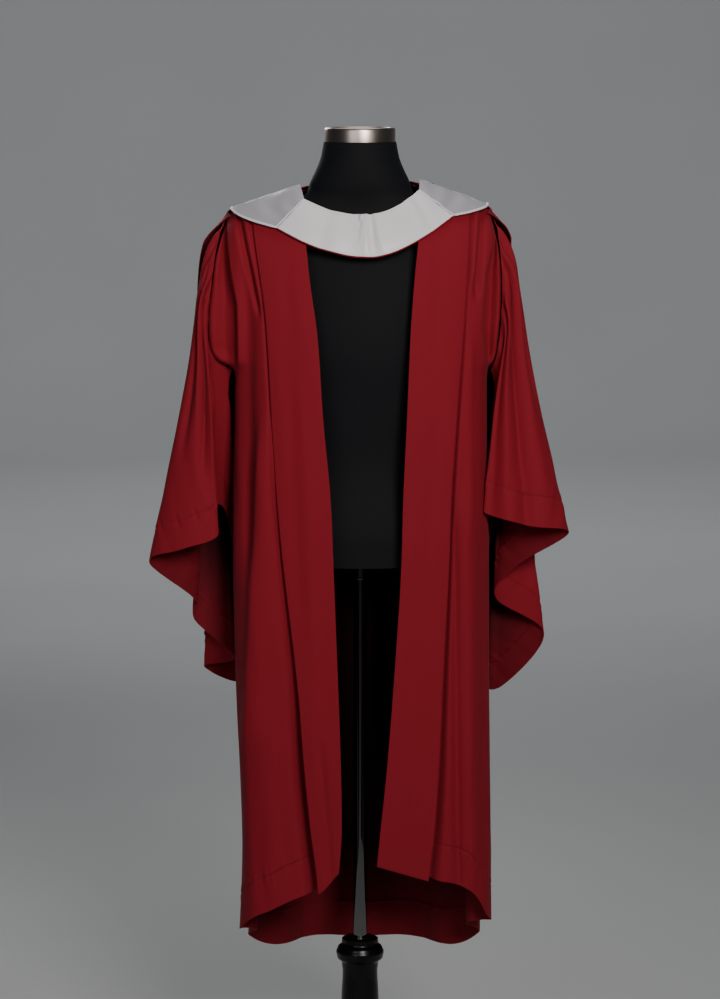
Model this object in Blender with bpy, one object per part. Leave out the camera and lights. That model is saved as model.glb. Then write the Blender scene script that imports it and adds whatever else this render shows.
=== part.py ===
"""An open-fronted graduation gown with bell sleeves and a satin-trimmed hood, on a limbless dress form.

Metres, +Z up. The gown faces -Y, its left is -X, and the stand's feet rest on z = 0.
"""
import math
from collections import namedtuple

import bmesh
import bpy
from mathutils import Vector

# Driving sizes of the cloth
CLOTH = 0.0018
SATIN = 0.0016
SEAM = 0.0004
CAPE_LIFT = 0.0056
SATIN_LIFT = 0.0100
SIDE_SEAM = 0.0007
SIDE_Y = -0.030
SQUARE = 2.6
ROLL = 0.095
UNDERARM = 1.215
TUCK = 0.008
PLEAT_GAP = 0.0019
SLEEVE_SEAT = {"left": 0.0010, "right": 0.0024}
SLEEVE_TOP = {"left": 1.452, "right": 1.456}
HEAD_BULGE = 0.016
HEAD_AT = 0.12
BACK_FLUTE_TOP = 1.20
BACK_HEM = 0.245
CAPE_HEM = 0.985
CAPE_CORNER = 0.13
EDGE_ROLL = 0.045
SHOULDER_READ = 1.5
HEM_READ = 0.42
SEAM_HEM_READ = 0.3
ARMHOLE_READ = 1.464
HEM_FALL = 0.16
SEAM_EASE = 0.028
SPREAD = 0.4

# Driving sizes of the form and its stand
CAP_TOP = 1.600
CAP_RADIUS = 0.0565
FORM_BOTTOM = 0.904
FORM_TOP = 1.577
POLE_RADIUS = 0.0115
HUB_TOP = 0.283
LEG_COUNT = 3
LEG_REACH = 0.262
LEG_WIDTH = 0.022
FOOT_LENGTH = 0.044
FOOT_FLAT = 0.4
FOOT_TALL = 0.020
FOOT_TIP_TALL = 0.015
POLE_X = 0.0019
POLE_Y = 0.0411
CLAMP_WALL = 0.006
CLAMP_HEIGHT = 0.030

# The gown's outline at a height: half widths to each side, and depths before and behind
Section = namedtuple("Section", "z left right front back")
BODY = [
    Section(0.24, 0.199, 0.214, 0.122, 0.172),
    Section(0.45, 0.191, 0.212, 0.124, 0.168),
    Section(0.70, 0.200, 0.208, 0.127, 0.160),
    Section(0.90, 0.204, 0.207, 0.132, 0.150),
    Section(1.05, 0.202, 0.204, 0.136, 0.142),
    Section(1.20, 0.200, 0.203, 0.136, 0.134),
    Section(1.32, 0.212, 0.210, 0.128, 0.124),
    Section(1.42, 0.222, 0.220, 0.110, 0.110),
    Section(1.51, 0.226, 0.222, 0.086, 0.092),
]

# Distances from the middle of the two opening edges, and of the two pleats beside the smooth front bands
Edge = namedtuple("Edge", "z left right")
OPENING = [
    Edge(0.30, 0.036, 0.020),
    Edge(0.416, 0.0345, 0.027),
    Edge(0.47, 0.0300, 0.032),
    Edge(0.60, 0.0315, 0.045),
    Edge(0.79, 0.0382, 0.059),
    Edge(0.91, 0.0427, 0.066),
    Edge(1.02, 0.0473, 0.069),
    Edge(1.145, 0.0587, 0.0746),
    Edge(1.275, 0.0675, 0.0800),
    Edge(1.363, 0.0797, 0.0862),
    Edge(1.43, 0.0868, 0.0929),
    Edge(1.51, 0.0970, 0.0990),
]
FRONT_PLEAT = [
    Edge(0.30, 0.061, 0.104),
    Edge(0.41, 0.069, 0.110),
    Edge(0.48, 0.078, 0.118),
    Edge(0.58, 0.088, 0.125),
    Edge(0.72, 0.099, 0.131),
    Edge(0.92, 0.122, 0.141),
    Edge(1.02, 0.131, 0.144),
    Edge(1.145, 0.139, 0.152),
    Edge(1.31, 0.149, 0.164),
    Edge(1.445, 0.168, 0.172),
    Edge(1.51, 0.172, 0.174),
]

# Heights of the shoulder line, by distance from the middle
Ridge = namedtuple("Ridge", "x left right")
SHOULDER = [
    Ridge(0.060, 1.503, 1.510),
    Ridge(0.095, 1.501, 1.508),
    Ridge(0.135, 1.487, 1.494),
    Ridge(0.176, 1.476, 1.482),
    Ridge(0.210, 1.463, 1.468),
]

# Front hem heights, by distance from the middle
Hem = namedtuple("Hem", "x left right")
FRONT_HEM = [
    Hem(0.025, 0.422, 0.427),
    Hem(0.036, 0.413, 0.424),
    Hem(0.057, 0.390, 0.418),
    Hem(0.090, 0.368, 0.408),
    Hem(0.115, 0.350, 0.400),
    Hem(0.136, 0.339, 0.392),
    Hem(0.160, 0.324, 0.372),
    Hem(0.185, 0.308, 0.336),
    Hem(0.214, 0.300, 0.318),
]

# The armhole's edge at a height: distance out, and depth before and behind
Armhole = namedtuple("Armhole", "z left right front back")
ARMHOLE = [
    Armhole(1.215, 0.2030, 0.2065, -0.028, -0.028),
    Armhole(1.228, 0.2240, 0.2120, -0.040, -0.008),
    Armhole(1.250, 0.2380, 0.2170, -0.048, 0.020),
    Armhole(1.300, 0.2400, 0.2220, -0.052, 0.036),
    Armhole(1.350, 0.2350, 0.2230, -0.050, 0.042),
    Armhole(1.400, 0.2290, 0.2210, -0.042, 0.038),
    Armhole(1.440, 0.2200, 0.2160, -0.025, 0.024),
    Armhole(1.464, 0.2100, 0.2085, 0.000, 0.000),
    Armhole(1.480, 0.2080, 0.2070, 0.000, 0.000),
]

# Where the front pleat hangs open near the hem: the height it opens from, and how far it falls back
Slit = namedtuple("Slit", "open_from depth")
SLITS = {"left": Slit(0.78, 0.012), "right": Slit(0.60, 0.006)}
SLIT_EASE = 0.25

# Soft flutes of the back: place from the left side seam (0) to the right (1), width and depth at the hem
Flute = namedtuple("Flute", "place width depth")
FLUTES = [
    Flute(0.055, 0.050, -0.026),
    Flute(0.150, 0.060, 0.008),
    Flute(0.270, 0.055, -0.014),
    Flute(0.380, 0.060, 0.010),
    Flute(0.500, 0.055, -0.013),
    Flute(0.620, 0.060, 0.010),
    Flute(0.730, 0.055, -0.012),
    Flute(0.850, 0.060, 0.008),
    Flute(0.945, 0.050, -0.040),
]

# A row for each fold line of a sleeve: where it leaves the armhole (0 underarm, 0.5 shoulder), where it ends
Fold = namedtuple("Fold", "around x y z")
SLEEVE_LEFT = [
    Fold(0.00, -0.2120, 0.010, 0.970),
    Fold(0.10, -0.2360, -0.045, 0.995),
    Fold(0.18, -0.2270, -0.082, 0.955),
    Fold(0.32, -0.2830, -0.084, 0.934),
    Fold(0.46, -0.3385, -0.046, 0.908),
    Fold(0.58, -0.2680, 0.016, 0.838),
    Fold(0.66, -0.2700, 0.046, 0.800),
    Fold(0.74, -0.2060, 0.062, 0.735),
    Fold(0.82, -0.2570, 0.100, 0.714),
    Fold(0.90, -0.1960, 0.134, 0.684),
    Fold(0.96, -0.1860, 0.092, 0.760),
]
SLEEVE_RIGHT = [
    Fold(0.00, 0.2150, 0.010, 0.975),
    Fold(0.09, 0.2150, -0.040, 1.000),
    Fold(0.17, 0.1985, -0.084, 0.992),
    Fold(0.31, 0.2720, -0.090, 0.972),
    Fold(0.46, 0.3345, -0.046, 0.955),
    Fold(0.57, 0.2520, 0.008, 0.893),
    Fold(0.66, 0.2210, 0.034, 0.838),
    Fold(0.74, 0.3020, 0.070, 0.773),
    Fold(0.83, 0.2350, 0.110, 0.680),
    Fold(0.90, 0.2000, 0.126, 0.688),
    Fold(0.96, 0.1880, 0.086, 0.770),
]
SLEEVE_SPLIT = 4.55

# How far each side of a sleeve's seams is drawn back, at the armhole and at the hem
Gap = namedtuple("Gap", "head hem")
UNDERARM_SEAM = Gap(0.0036, 0.0016)
OUTER_SEAM = Gap(0.0006, 0.0003)

# The hood's side edges at a height, and its top edge from the left shoulder (0) to the right (1)
Cape = namedtuple("Cape", "z left right edge depth")
CAPE = [
    Cape(0.95, 0.160, 0.155, 0.115, 0.180),
    Cape(1.05, 0.215, 0.205, 0.098, 0.174),
    Cape(1.15, 0.246, 0.232, 0.082, 0.167),
    Cape(1.25, 0.260, 0.243, 0.064, 0.158),
    Cape(1.32, 0.2625, 0.2450, 0.046, 0.149),
    Cape(1.38, 0.2590, 0.2445, 0.030, 0.139),
    Cape(1.42, 0.2500, 0.2430, 0.018, 0.130),
    Cape(1.446, 0.2340, 0.2360, 0.008, 0.122),
    Cape(1.475, 0.2140, 0.2130, 0.000, 0.112),
    Cape(1.510, 0.2100, 0.2080, 0.000, 0.102),
]
Top = namedtuple("Top", "across x y z")
NECK_ROWS = [
    Top(0.00, -0.2060, -0.030, 1.4600),
    Top(0.07, -0.2090, -0.004, 1.4685),
    Top(0.18, -0.1550, 0.001, 1.4850),
    Top(0.30, -0.0960, 0.001, 1.5035),
    Top(0.38, -0.0740, 0.042, 1.5060),
    Top(0.50, 0.0000, 0.074, 1.5000),
    Top(0.62, 0.0740, 0.042, 1.5120),
    Top(0.70, 0.0965, 0.001, 1.5105),
    Top(0.82, 0.1550, 0.001, 1.4920),
    Top(0.93, 0.2060, -0.004, 1.4740),
    Top(1.00, 0.2040, -0.030, 1.4655),
]

# The satin band across the chest: upper and lower edge, from the left mitre to the right
Band = namedtuple("Band", "top_x top_z low_x low_z")
BandRow = namedtuple("BandRow", ("row",) + Band._fields)
NECKBAND = [
    Band(-0.0885, 1.4870, -0.1293, 1.4440),
    Band(-0.0560, 1.4735, -0.0871, 1.4235),
    Band(-0.0225, 1.4655, -0.0471, 1.4100),
    Band(0.0050, 1.4645, -0.0020, 1.4015),
    Band(0.0308, 1.4665, 0.0420, 1.4050),
    Band(0.0640, 1.4800, 0.0932, 1.4280),
    Band(0.0940, 1.5010, 0.1458, 1.4620),
]
BAND_LIFT = 0.0075
BAND_RAISE = 0.001
MITRE_GAP = 0.006

# The satin turned out behind the shoulder: its inner and outer edge, as the hood's place across and drop
Strip = namedtuple("Strip", "inner inner_drop outer outer_drop")
StripRow = namedtuple("StripRow", ("row",) + Strip._fields)
SATIN_BACK = [
    Strip(0.305, 0.002, 0.075, 0.002),
    Strip(0.330, 0.018, 0.090, 0.045),
    Strip(0.375, 0.070, 0.150, 0.120),
    Strip(0.425, 0.160, 0.250, 0.225),
    Strip(0.470, 0.250, 0.370, 0.325),
    Strip(0.498, 0.300, 0.498, 0.385),
]
SATIN_TOP_INNER = 0.0962
SATIN_TOP_OUTER = 0.206
SATIN_TOP_LIFT = 0.0065

# The dress form's outline at a height
FORM = [
    Section(0.904, 0.160, 0.160, 0.100, 0.096),
    Section(0.960, 0.163, 0.163, 0.102, 0.104),
    Section(1.060, 0.138, 0.138, 0.090, 0.088),
    Section(1.160, 0.146, 0.146, 0.100, 0.092),
    Section(1.260, 0.164, 0.164, 0.112, 0.100),
    Section(1.360, 0.184, 0.184, 0.100, 0.094),
    Section(1.420, 0.186, 0.186, 0.078, 0.080),
    Section(1.450, 0.176, 0.176, 0.058, 0.062),
    Section(1.468, 0.148, 0.148, 0.048, 0.054),
    Section(1.482, 0.108, 0.108, 0.048, 0.054),
    Section(1.494, 0.0870, 0.0870, 0.050, 0.056),
    Section(1.512, 0.0800, 0.0800, 0.054, 0.058),
    Section(1.548, 0.0640, 0.0640, 0.056, 0.060),
    Section(1.577, 0.0578, 0.0578, 0.056, 0.058),
]

# The turned hub: height and radius down its side
Turn = namedtuple("Turn", "z radius")
HUB = [
    Turn(0.2830, 0.0240),
    Turn(0.2800, 0.0295),
    Turn(0.2720, 0.0300),
    Turn(0.2660, 0.0360),
    Turn(0.2580, 0.0390),
    Turn(0.2490, 0.0375),
    Turn(0.2410, 0.0300),
    Turn(0.2260, 0.0285),
    Turn(0.1770, 0.0305),
    Turn(0.1500, 0.0345),
    Turn(0.0950, 0.0345),
    Turn(0.0880, 0.0300),
    Turn(0.0760, 0.0180),
    Turn(0.0700, 0.0090),
]

# A leg's middle line and its height across, from the hub outward
Leg = namedtuple("Leg", "out z tall")
LEG = [
    Leg(0.0349, 0.1250, 0.046),
    Leg(0.0700, 0.1200, 0.040),
    Leg(0.1150, 0.0960, 0.032),
    Leg(0.1600, 0.0580, 0.027),
    Leg(0.2000, 0.0300, 0.024),
    Leg(0.2180, 0.0120, 0.024),
]

CRIMSON = (0.178, 0.0075, 0.0135)
SILVER = (0.600, 0.555, 0.590)
FORM_BLACK = (0.006, 0.0065, 0.009)
GLOSS_BLACK = (0.008, 0.008, 0.009)
CHROME = (0.720, 0.700, 0.680)


def clear_scene():
    for thing in list(bpy.data.objects):
        bpy.data.objects.remove(thing, do_unlink=True)


def material(name, colour, roughness, metallic=0.0, sheen=0.0):
    made = bpy.data.materials.new(name)
    made.use_nodes = True
    shader = made.node_tree.nodes["Principled BSDF"]
    shader.inputs["Base Color"].default_value = (*colour, 1.0)
    shader.inputs["Roughness"].default_value = roughness
    shader.inputs["Metallic"].default_value = metallic
    shader.inputs["Sheen Weight"].default_value = sheen
    return made


def smooth_read(rows, at, column):
    """A column's value at a place in the first column, on a smooth curve through the rows."""
    last = len(rows) - 1
    k = 0
    while k < last - 1 and rows[k + 1][0] < at:
        k += 1

    def value(i):
        return getattr(rows[max(0, min(last, i))], column)

    def place(i):
        return rows[max(0, min(last, i))][0]

    def slope(i):
        return (value(i + 1) - value(i - 1)) / (place(i + 1) - place(i - 1))

    span = place(k + 1) - place(k)
    t = max(0.0, min(1.0, (at - place(k)) / span))
    rise = t * t * (3.0 - 2.0 * t)
    leave = t * (1.0 - t) ** 2 * span * slope(k)
    arrive = t * t * (1.0 - t) * span * slope(k + 1)
    return value(k) + (value(k + 1) - value(k)) * rise + leave - arrive


def ring_read(rows, at, column):
    """A column's value at a fractional row of a closed ring of rows, on a smooth curve."""
    count = len(rows)
    k = math.floor(at)
    t = at - k
    turns = 1.0 if column == "around" else 0.0

    def value(i):
        return getattr(rows[i % count], column) + turns * (i // count)

    a, b, c, d = (value(k + step) for step in (-1, 0, 1, 2))
    bend = (2.0 * a - 5.0 * b + 4.0 * c - d) * t * t + (3.0 * b - a - 3.0 * c + d) * t ** 3
    return b + 0.5 * ((c - a) * t + bend)


def mix(a, b, t):
    return a + (b - a) * t


def side_of(x):
    return "left" if x < 0.0 else "right"


def roll(drop, radius=ROLL):
    """How far cloth that leaves a shoulder line level has turned down, from 0 to 1."""
    t = max(0.0, min(1.0, drop / radius))
    return math.sqrt(1.0 - (1.0 - t) ** 2)


def ridge_z(x):
    return smooth_read(SHOULDER, abs(x), side_of(x))


def front_y(x, z):
    """The gown's front surface, also carried on across the opening, where the neckband lies."""
    wide = smooth_read(BODY, z, side_of(x))
    deep = smooth_read(BODY, z, "front") + SIDE_Y
    share = min(1.0, abs(x) / wide)
    full = SIDE_Y - deep * (1.0 - share ** SQUARE) ** (1.0 / SQUARE)
    return full * roll(ridge_z(x) - z)


def heights(top, hem, rolls=5, upper=4, lower=9):
    """Row heights down a panel: close over the shoulder, then to the underarm and on to the hem."""
    rows = [top - ROLL * (1.0 - math.cos(0.5 * math.pi * k / rolls)) for k in range(rolls + 1)]
    turned = rows[-1]
    rows += [mix(turned, UNDERARM, k / upper) for k in range(1, upper + 1)]
    rows += [mix(UNDERARM, hem, k / lower) for k in range(1, lower + 1)]
    return rows


def band_x(z, side, across):
    """How far out the front strip lies at a height, from the opening edge (0) to its pleat (1)."""
    return mix(smooth_read(OPENING, z, side), smooth_read(FRONT_PLEAT, z, side), across)


def band_grid(side, columns=4):
    """The smooth front strip from the opening edge to its pleat, shoulder to hem."""
    sign = -1.0 if side == "left" else 1.0
    grid = []
    for k in range(columns + 1):
        across = k / columns
        top_x = band_x(SHOULDER_READ, side, across)
        low_x = band_x(HEM_READ, side, across)
        line = []
        for z in heights(ridge_z(sign * top_x), smooth_read(FRONT_HEM, low_x, side)):
            x = sign * band_x(z, side, across)
            line.append(Vector((x, front_y(x, z) - SEAM, z)))
        grid.append(line)
    return grid


def side_edge(side, z):
    """The outer edge of a front: the armhole above the underarm, the side seam below it."""
    if z > UNDERARM:
        return smooth_read(ARMHOLE, z, side), smooth_read(ARMHOLE, z, "front")
    return smooth_read(BODY, z, side), SIDE_Y


def side_grid(side, columns=10):
    """The outer part of a front: tucked behind the strip's pleat, round to the side seam and armhole."""
    sign = -1.0 if side == "left" else 1.0
    grid = []
    for k in range(columns + 1):
        across = k / columns
        start = smooth_read(FRONT_PLEAT, SHOULDER_READ, side) - TUCK
        end = smooth_read(ARMHOLE, ARMHOLE_READ, side)
        low_start = smooth_read(FRONT_PLEAT, HEM_READ, side) - TUCK
        low = mix(low_start, smooth_read(BODY, SEAM_HEM_READ, side), across)
        top_x = mix(start, end, across)
        line = []
        for z in heights(ridge_z(sign * top_x), smooth_read(FRONT_HEM, low, side)):
            wide = smooth_read(BODY, z, side)
            deep = smooth_read(BODY, z, "front") + SIDE_Y
            edge_x, edge_y = side_edge(side, z)
            inner = smooth_read(FRONT_PLEAT, z, side) - TUCK
            first = math.asin(min(1.0, inner / wide) ** (0.5 * SQUARE))
            angle = mix(first, 0.5 * math.pi, across)
            x = wide * math.sin(angle) ** (2.0 / SQUARE)
            y = SIDE_Y - deep * max(0.0, math.cos(angle)) ** (2.0 / SQUARE)
            pull = across ** 3
            x += pull * (edge_x - wide)
            y += pull * (edge_y - SIDE_Y)
            x = mix(top_x, x, roll(ridge_z(sign * top_x) - z))
            turned = roll(max(ridge_z(sign * top_x), ridge_z(sign * x)) - z)
            behind = (CLOTH + PLEAT_GAP) * max(0.0, 1.0 - across * 2.5)
            recess = slit(side, z) * max(0.0, 1.0 - across * 1.6)
            y = y * turned + behind * turned + recess - mix(SEAM, SIDE_SEAM, across)
            line.append(Vector((sign * x, y, z - behind * math.sqrt(1.0 - turned * turned))))
        grid.append(line)
    return grid


def slit(side, z):
    """How far the cloth beside the strip falls back where the pleat hangs open near the hem."""
    fall = max(0.0, min(1.0, (SLITS[side].open_from - z) / SLIT_EASE))
    return SLITS[side].depth * fall * fall * (3.0 - 2.0 * fall)


def back_grid(columns=34):
    """The full back, from side seam to side seam, its flutes deepening to the hem."""
    grid = []
    for k in range(columns + 1):
        across = k / columns
        top = Vector([smooth_read(NECK_ROWS, mix(0.07, 0.93, across), axis) for axis in "xyz"])
        top.z -= CAPE_LIFT
        top.y = max(top.y, 0.0)
        angle = math.pi * across
        side = "left" if across < 0.5 else "right"
        sign = -1.0 if across < 0.5 else 1.0
        line = []
        for z in heights(top.z, back_hem(across)):
            wide = smooth_read(BODY, z, side)
            deep = smooth_read(BODY, z, "back") - SIDE_Y
            flute = flute_depth(across, z)
            x = -(wide * math.cos(angle))
            y = SIDE_Y + (deep + flute) * math.sin(angle)
            y += flute * (1.0 - math.sin(angle)) * SPREAD
            x -= sign * abs(flute) * abs(math.cos(angle)) * (1.0 if flute < 0.0 else -0.5)
            if z > UNDERARM:
                pull = abs(2.0 * across - 1.0) ** 5
                edge_x = smooth_read(ARMHOLE, z, side)
                edge_y = smooth_read(ARMHOLE, z, "back")
                x += sign * pull * (edge_x - wide)
                y += pull * (edge_y - SIDE_Y)
            turned = roll(top.z - z)
            x = mix(top.x, x, turned)
            y = mix(top.y, y, turned)
            line.append(Vector((x, y + SIDE_SEAM, z)))
        grid.append(line)
    return grid


def back_hem(across):
    """Hem height round the back: it drops from the side seams to its lowest line."""
    side = "left" if across < 0.5 else "right"
    from_side = min(across, 1.0 - across)
    seam = smooth_read(FRONT_HEM, smooth_read(BODY, SEAM_HEM_READ, side), side)
    fall = min(1.0, from_side / HEM_FALL)
    return mix(seam, BACK_HEM, fall * fall * (3.0 - 2.0 * fall))


def flute_depth(across, z):
    fall = max(0.0, min(1.0, (BACK_FLUTE_TOP - z) / (BACK_FLUTE_TOP - BACK_HEM)))
    fall *= min(1.0, min(across, 1.0 - across) / SEAM_EASE)
    total = 0.0
    for flute in FLUTES:
        away = (across - flute.place) / flute.width
        total += flute.depth * math.exp(-away * away)
    return total * fall


def armhole_point(side, around):
    """A point of the armhole's edge: 0 at the underarm, 0.25 in front, 0.5 at the shoulder, 0.75 behind."""
    around = around % 1.0
    rise = 1.0 - abs(2.0 * around - 1.0)
    z = mix(UNDERARM, SLEEVE_TOP[side], rise ** 0.9)
    depth = "front" if around < 0.5 else "back"
    out = smooth_read(ARMHOLE, z, side)
    return Vector((out, smooth_read(ARMHOLE, z, depth), z))


def sleeve_grid(side, first, last, first_seam, last_seam, columns, rows=10):
    """Part of a bell sleeve, ruled from the armhole to its hem along the sleeve's fold lines."""
    folds = SLEEVE_LEFT if side == "left" else SLEEVE_RIGHT
    sign = -1.0 if side == "left" else 1.0
    grid = []
    for k in range(columns + 1):
        at = mix(first, last, k / columns)
        around = ring_read(folds, at, "around")
        head = armhole_point(side, around)
        head.x = sign * (head.x + SLEEVE_SEAT[side])
        hem = Vector([ring_read(folds, at, axis) for axis in "xyz"])
        top = math.sin(math.pi * (around % 1.0)) ** 2
        fore = -math.sin(2.0 * math.pi * around)
        line = []
        for j in range(rows + 1):
            down = (j / rows) ** 1.35
            near = down / HEAD_AT
            bulge = HEAD_BULGE * near * math.exp(1.0 - near)
            point = head.lerp(hem, down)
            point.x += sign * bulge * (0.35 + 0.65 * top)
            point.y += bulge * fore * 0.5
            line.append(point)
        grid.append(line)
    grid[0] = drawn_back(grid[0], grid[1], first_seam)
    grid[-1] = drawn_back(grid[-1], grid[-2], last_seam)
    return grid


def drawn_back(line, inner, gap):
    """A panel's edge moved toward its next line of points, which leaves the seam's gap."""
    last = len(line) - 1
    moved = []
    for j in range(last + 1):
        along = (line[min(last, j + 1)] - line[max(0, j - 1)]).normalized()
        toward = inner[j] - line[j]
        toward -= along * toward.dot(along)
        moved.append(line[j] + toward.normalized() * mix(gap.head, gap.hem, j / last))
    return moved


def cape_point(across, drop):
    """The hood's outer surface, by place across (left 0, right 1) and drop from its top edge."""
    top = Vector([smooth_read(NECK_ROWS, across, axis) for axis in "xyz"])
    z = top.z - drop
    angle = math.pi * across
    side = "left" if across < 0.5 else "right"
    wide = smooth_read(CAPE, z, side)
    rear = smooth_read(CAPE, z, "edge")
    deep = smooth_read(CAPE, z, "depth") - rear
    edge = abs(2.0 * across - 1.0)
    turned = roll(drop, mix(ROLL, EDGE_ROLL, edge ** 4))
    x = mix(top.x, -wide * math.cos(angle), turned)
    y = mix(top.y, rear + deep * math.sin(angle) ** 0.9, turned)
    return Vector((x, y, z))


def cape_drop(across):
    """The hood's length below its top edge, with rounded lower corners."""
    top = smooth_read(NECK_ROWS, across, "z")
    edge = abs(2.0 * across - 1.0)
    return top - CAPE_HEM - CAPE_CORNER * edge ** 5


def cape_grid(columns=34, rolls=5, rows=6):
    """The hood's shell: its columns and shoulder rows match the back's, so the two lie parallel."""
    places = [0.0, 0.035] + [mix(0.07, 0.93, k / columns) for k in range(columns + 1)] + [0.965, 1.0]
    grid = []
    for across in places:
        length = cape_drop(across)
        drops = [ROLL * (1.0 - math.cos(0.5 * math.pi * k / rolls)) for k in range(rolls + 1)]
        drops += [mix(ROLL, length, k / rows) for k in range(1, rows + 1)]
        grid.append([cape_point(across, drop) for drop in drops])
    return grid


def neckband_grid(columns=16, rows=4):
    """The satin band, lying off the gown's front surface from mitre to mitre."""
    grid = []
    last = len(NECKBAND) - 1
    numbered = [BandRow(k, *row) for k, row in enumerate(NECKBAND)]
    for k in range(columns + 1):
        at = mix(MITRE_GAP, last - MITRE_GAP, k / columns)
        line = []
        for j in range(rows + 1):
            down = j / rows
            x = mix(smooth_read(numbered, at, "top_x"), smooth_read(numbered, at, "low_x"), down)
            z = mix(smooth_read(numbered, at, "top_z"), smooth_read(numbered, at, "low_z"), down)
            line.append(Vector((x, front_y(x, z) - BAND_LIFT, z + BAND_RAISE)))
        grid.append(line)
    return grid


def satin_grid(side, columns=8, fore_rows=6, back_rows=14):
    """The satin from the mitre, over the shoulder and down the back to the middle."""
    sign = -1.0 if side == "left" else 1.0
    mitre = NECKBAND[0] if side == "left" else NECKBAND[-1]
    numbered = [StripRow(k, *row) for k, row in enumerate(SATIN_BACK)]
    grid = []
    for k in range(columns + 1):
        across = k / columns
        line = []
        for j in range(fore_rows):
            forward = (1.0 - j / fore_rows) ** 1.5
            inner_x = mix(SATIN_TOP_INNER, abs(mitre.top_x), forward)
            outer_x = mix(SATIN_TOP_OUTER, abs(mitre.low_x), forward ** 1.6)
            x = sign * mix(inner_x, outer_x, across)
            inner_z = mix(ridge_z(sign * SATIN_TOP_INNER), mitre.top_z, forward)
            outer_z = mix(ridge_z(sign * SATIN_TOP_OUTER), mitre.low_z, forward ** 0.8)
            z = mix(inner_z, outer_z, across)
            y = front_y(x, z) - mix(SATIN_TOP_LIFT, BAND_LIFT, forward)
            line.append(Vector((x, y, z + mix(SATIN_LIFT, BAND_RAISE, forward))))
        for j in range(back_rows + 1):
            at = (len(SATIN_BACK) - 1) * (j / back_rows) ** 1.4
            place = mix(smooth_read(numbered, at, "inner"), smooth_read(numbered, at, "outer"), across)
            inner_drop = smooth_read(numbered, at, "inner_drop")
            outer_drop = smooth_read(numbered, at, "outer_drop")
            fall = mix(inner_drop, outer_drop, across)
            line.append(off_cape(place if side == "left" else 1.0 - place, fall, SATIN_LIFT - CAPE_LIFT))
        grid.append(line)
    return grid


def off_cape(across, drop, lift):
    """A point of the hood's surface moved out along its normal."""
    step = 0.004
    here = cape_point(across, drop)
    along = cape_point(across + step, drop) - cape_point(across - step, drop)
    down = cape_point(across, drop + step) - cape_point(across, max(0.0, drop - step))
    return here + along.cross(down).normalized() * lift


def cloth(name, grid, thickness, finish, flip):
    """A closed wall: the grid is its outer face, and the thickness goes inward."""
    columns, rows = len(grid), len(grid[0])
    corners = [point for line in grid for point in line]
    faces = []
    for k in range(columns - 1):
        for j in range(rows - 1):
            a = k * rows + j
            quad = (a, a + 1, a + rows + 1, a + rows)
            faces.append(quad[::-1] if flip else quad)
    mesh = bpy.data.meshes.new(name)
    mesh.from_pydata(corners, [], faces)
    mesh.materials.append(finish)
    piece = bpy.data.objects.new(name, mesh)
    bpy.context.collection.objects.link(piece)
    mesh.shade_smooth()
    wall = piece.modifiers.new("Wall", "SOLIDIFY")
    wall.thickness = thickness
    wall.offset = -1.0
    return piece


def solid(name, rings, finish):
    """A closed solid through rings of points, capped at both ends."""
    made = bmesh.new()
    loops = [[made.verts.new(point) for point in ring] for ring in rings]
    count = len(rings[0])
    for low, high in zip(loops, loops[1:]):
        for k in range(count):
            made.faces.new((low[k], low[(k + 1) % count], high[(k + 1) % count], high[k]))
    made.faces.new(loops[0][::-1])
    made.faces.new(loops[-1])
    bmesh.ops.recalc_face_normals(made, faces=made.faces)
    mesh = bpy.data.meshes.new(name)
    made.to_mesh(mesh)
    made.free()
    mesh.materials.append(finish)
    piece = bpy.data.objects.new(name, mesh)
    bpy.context.collection.objects.link(piece)
    mesh.shade_smooth()
    mesh.set_sharp_from_angle(angle=math.radians(40))
    return piece


def round_ring(radius, z, count=24):
    steps = [2.0 * math.pi * k / count for k in range(count)]
    return [Vector((radius * math.cos(a), radius * math.sin(a), z)) for a in steps]


def make_form(finish, levels=22, count=28):
    """The limbless form: rounded sections from its flat underside to the top of the neck."""
    rings = []
    for level in range(levels + 1):
        z = mix(FORM_BOTTOM, FORM_TOP, level / levels)
        wide = smooth_read(FORM, z, "left")
        ring = []
        for k in range(count):
            angle = 2.0 * math.pi * k / count
            deep = smooth_read(FORM, z, "back" if math.sin(angle) > 0.0 else "front")
            ring.append(Vector((wide * math.cos(angle), deep * math.sin(angle), z)))
        rings.append(ring)
    return solid("form_torso", rings, finish)


def make_cap(finish):
    rim = 0.0015
    rings = [
        round_ring(CAP_RADIUS, FORM_TOP + SEAM),
        round_ring(CAP_RADIUS, CAP_TOP - 2.0 * rim),
        round_ring(CAP_RADIUS - rim, CAP_TOP - rim),
        round_ring(CAP_RADIUS - 4.0 * rim, CAP_TOP),
    ]
    return solid("neck_cap", rings, finish)


def make_pole(finish):
    rings = [round_ring(POLE_RADIUS, HUB_TOP + SEAM, 16), round_ring(POLE_RADIUS, FORM_BOTTOM - SEAM, 16)]
    return solid("pole", rings, finish)


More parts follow.
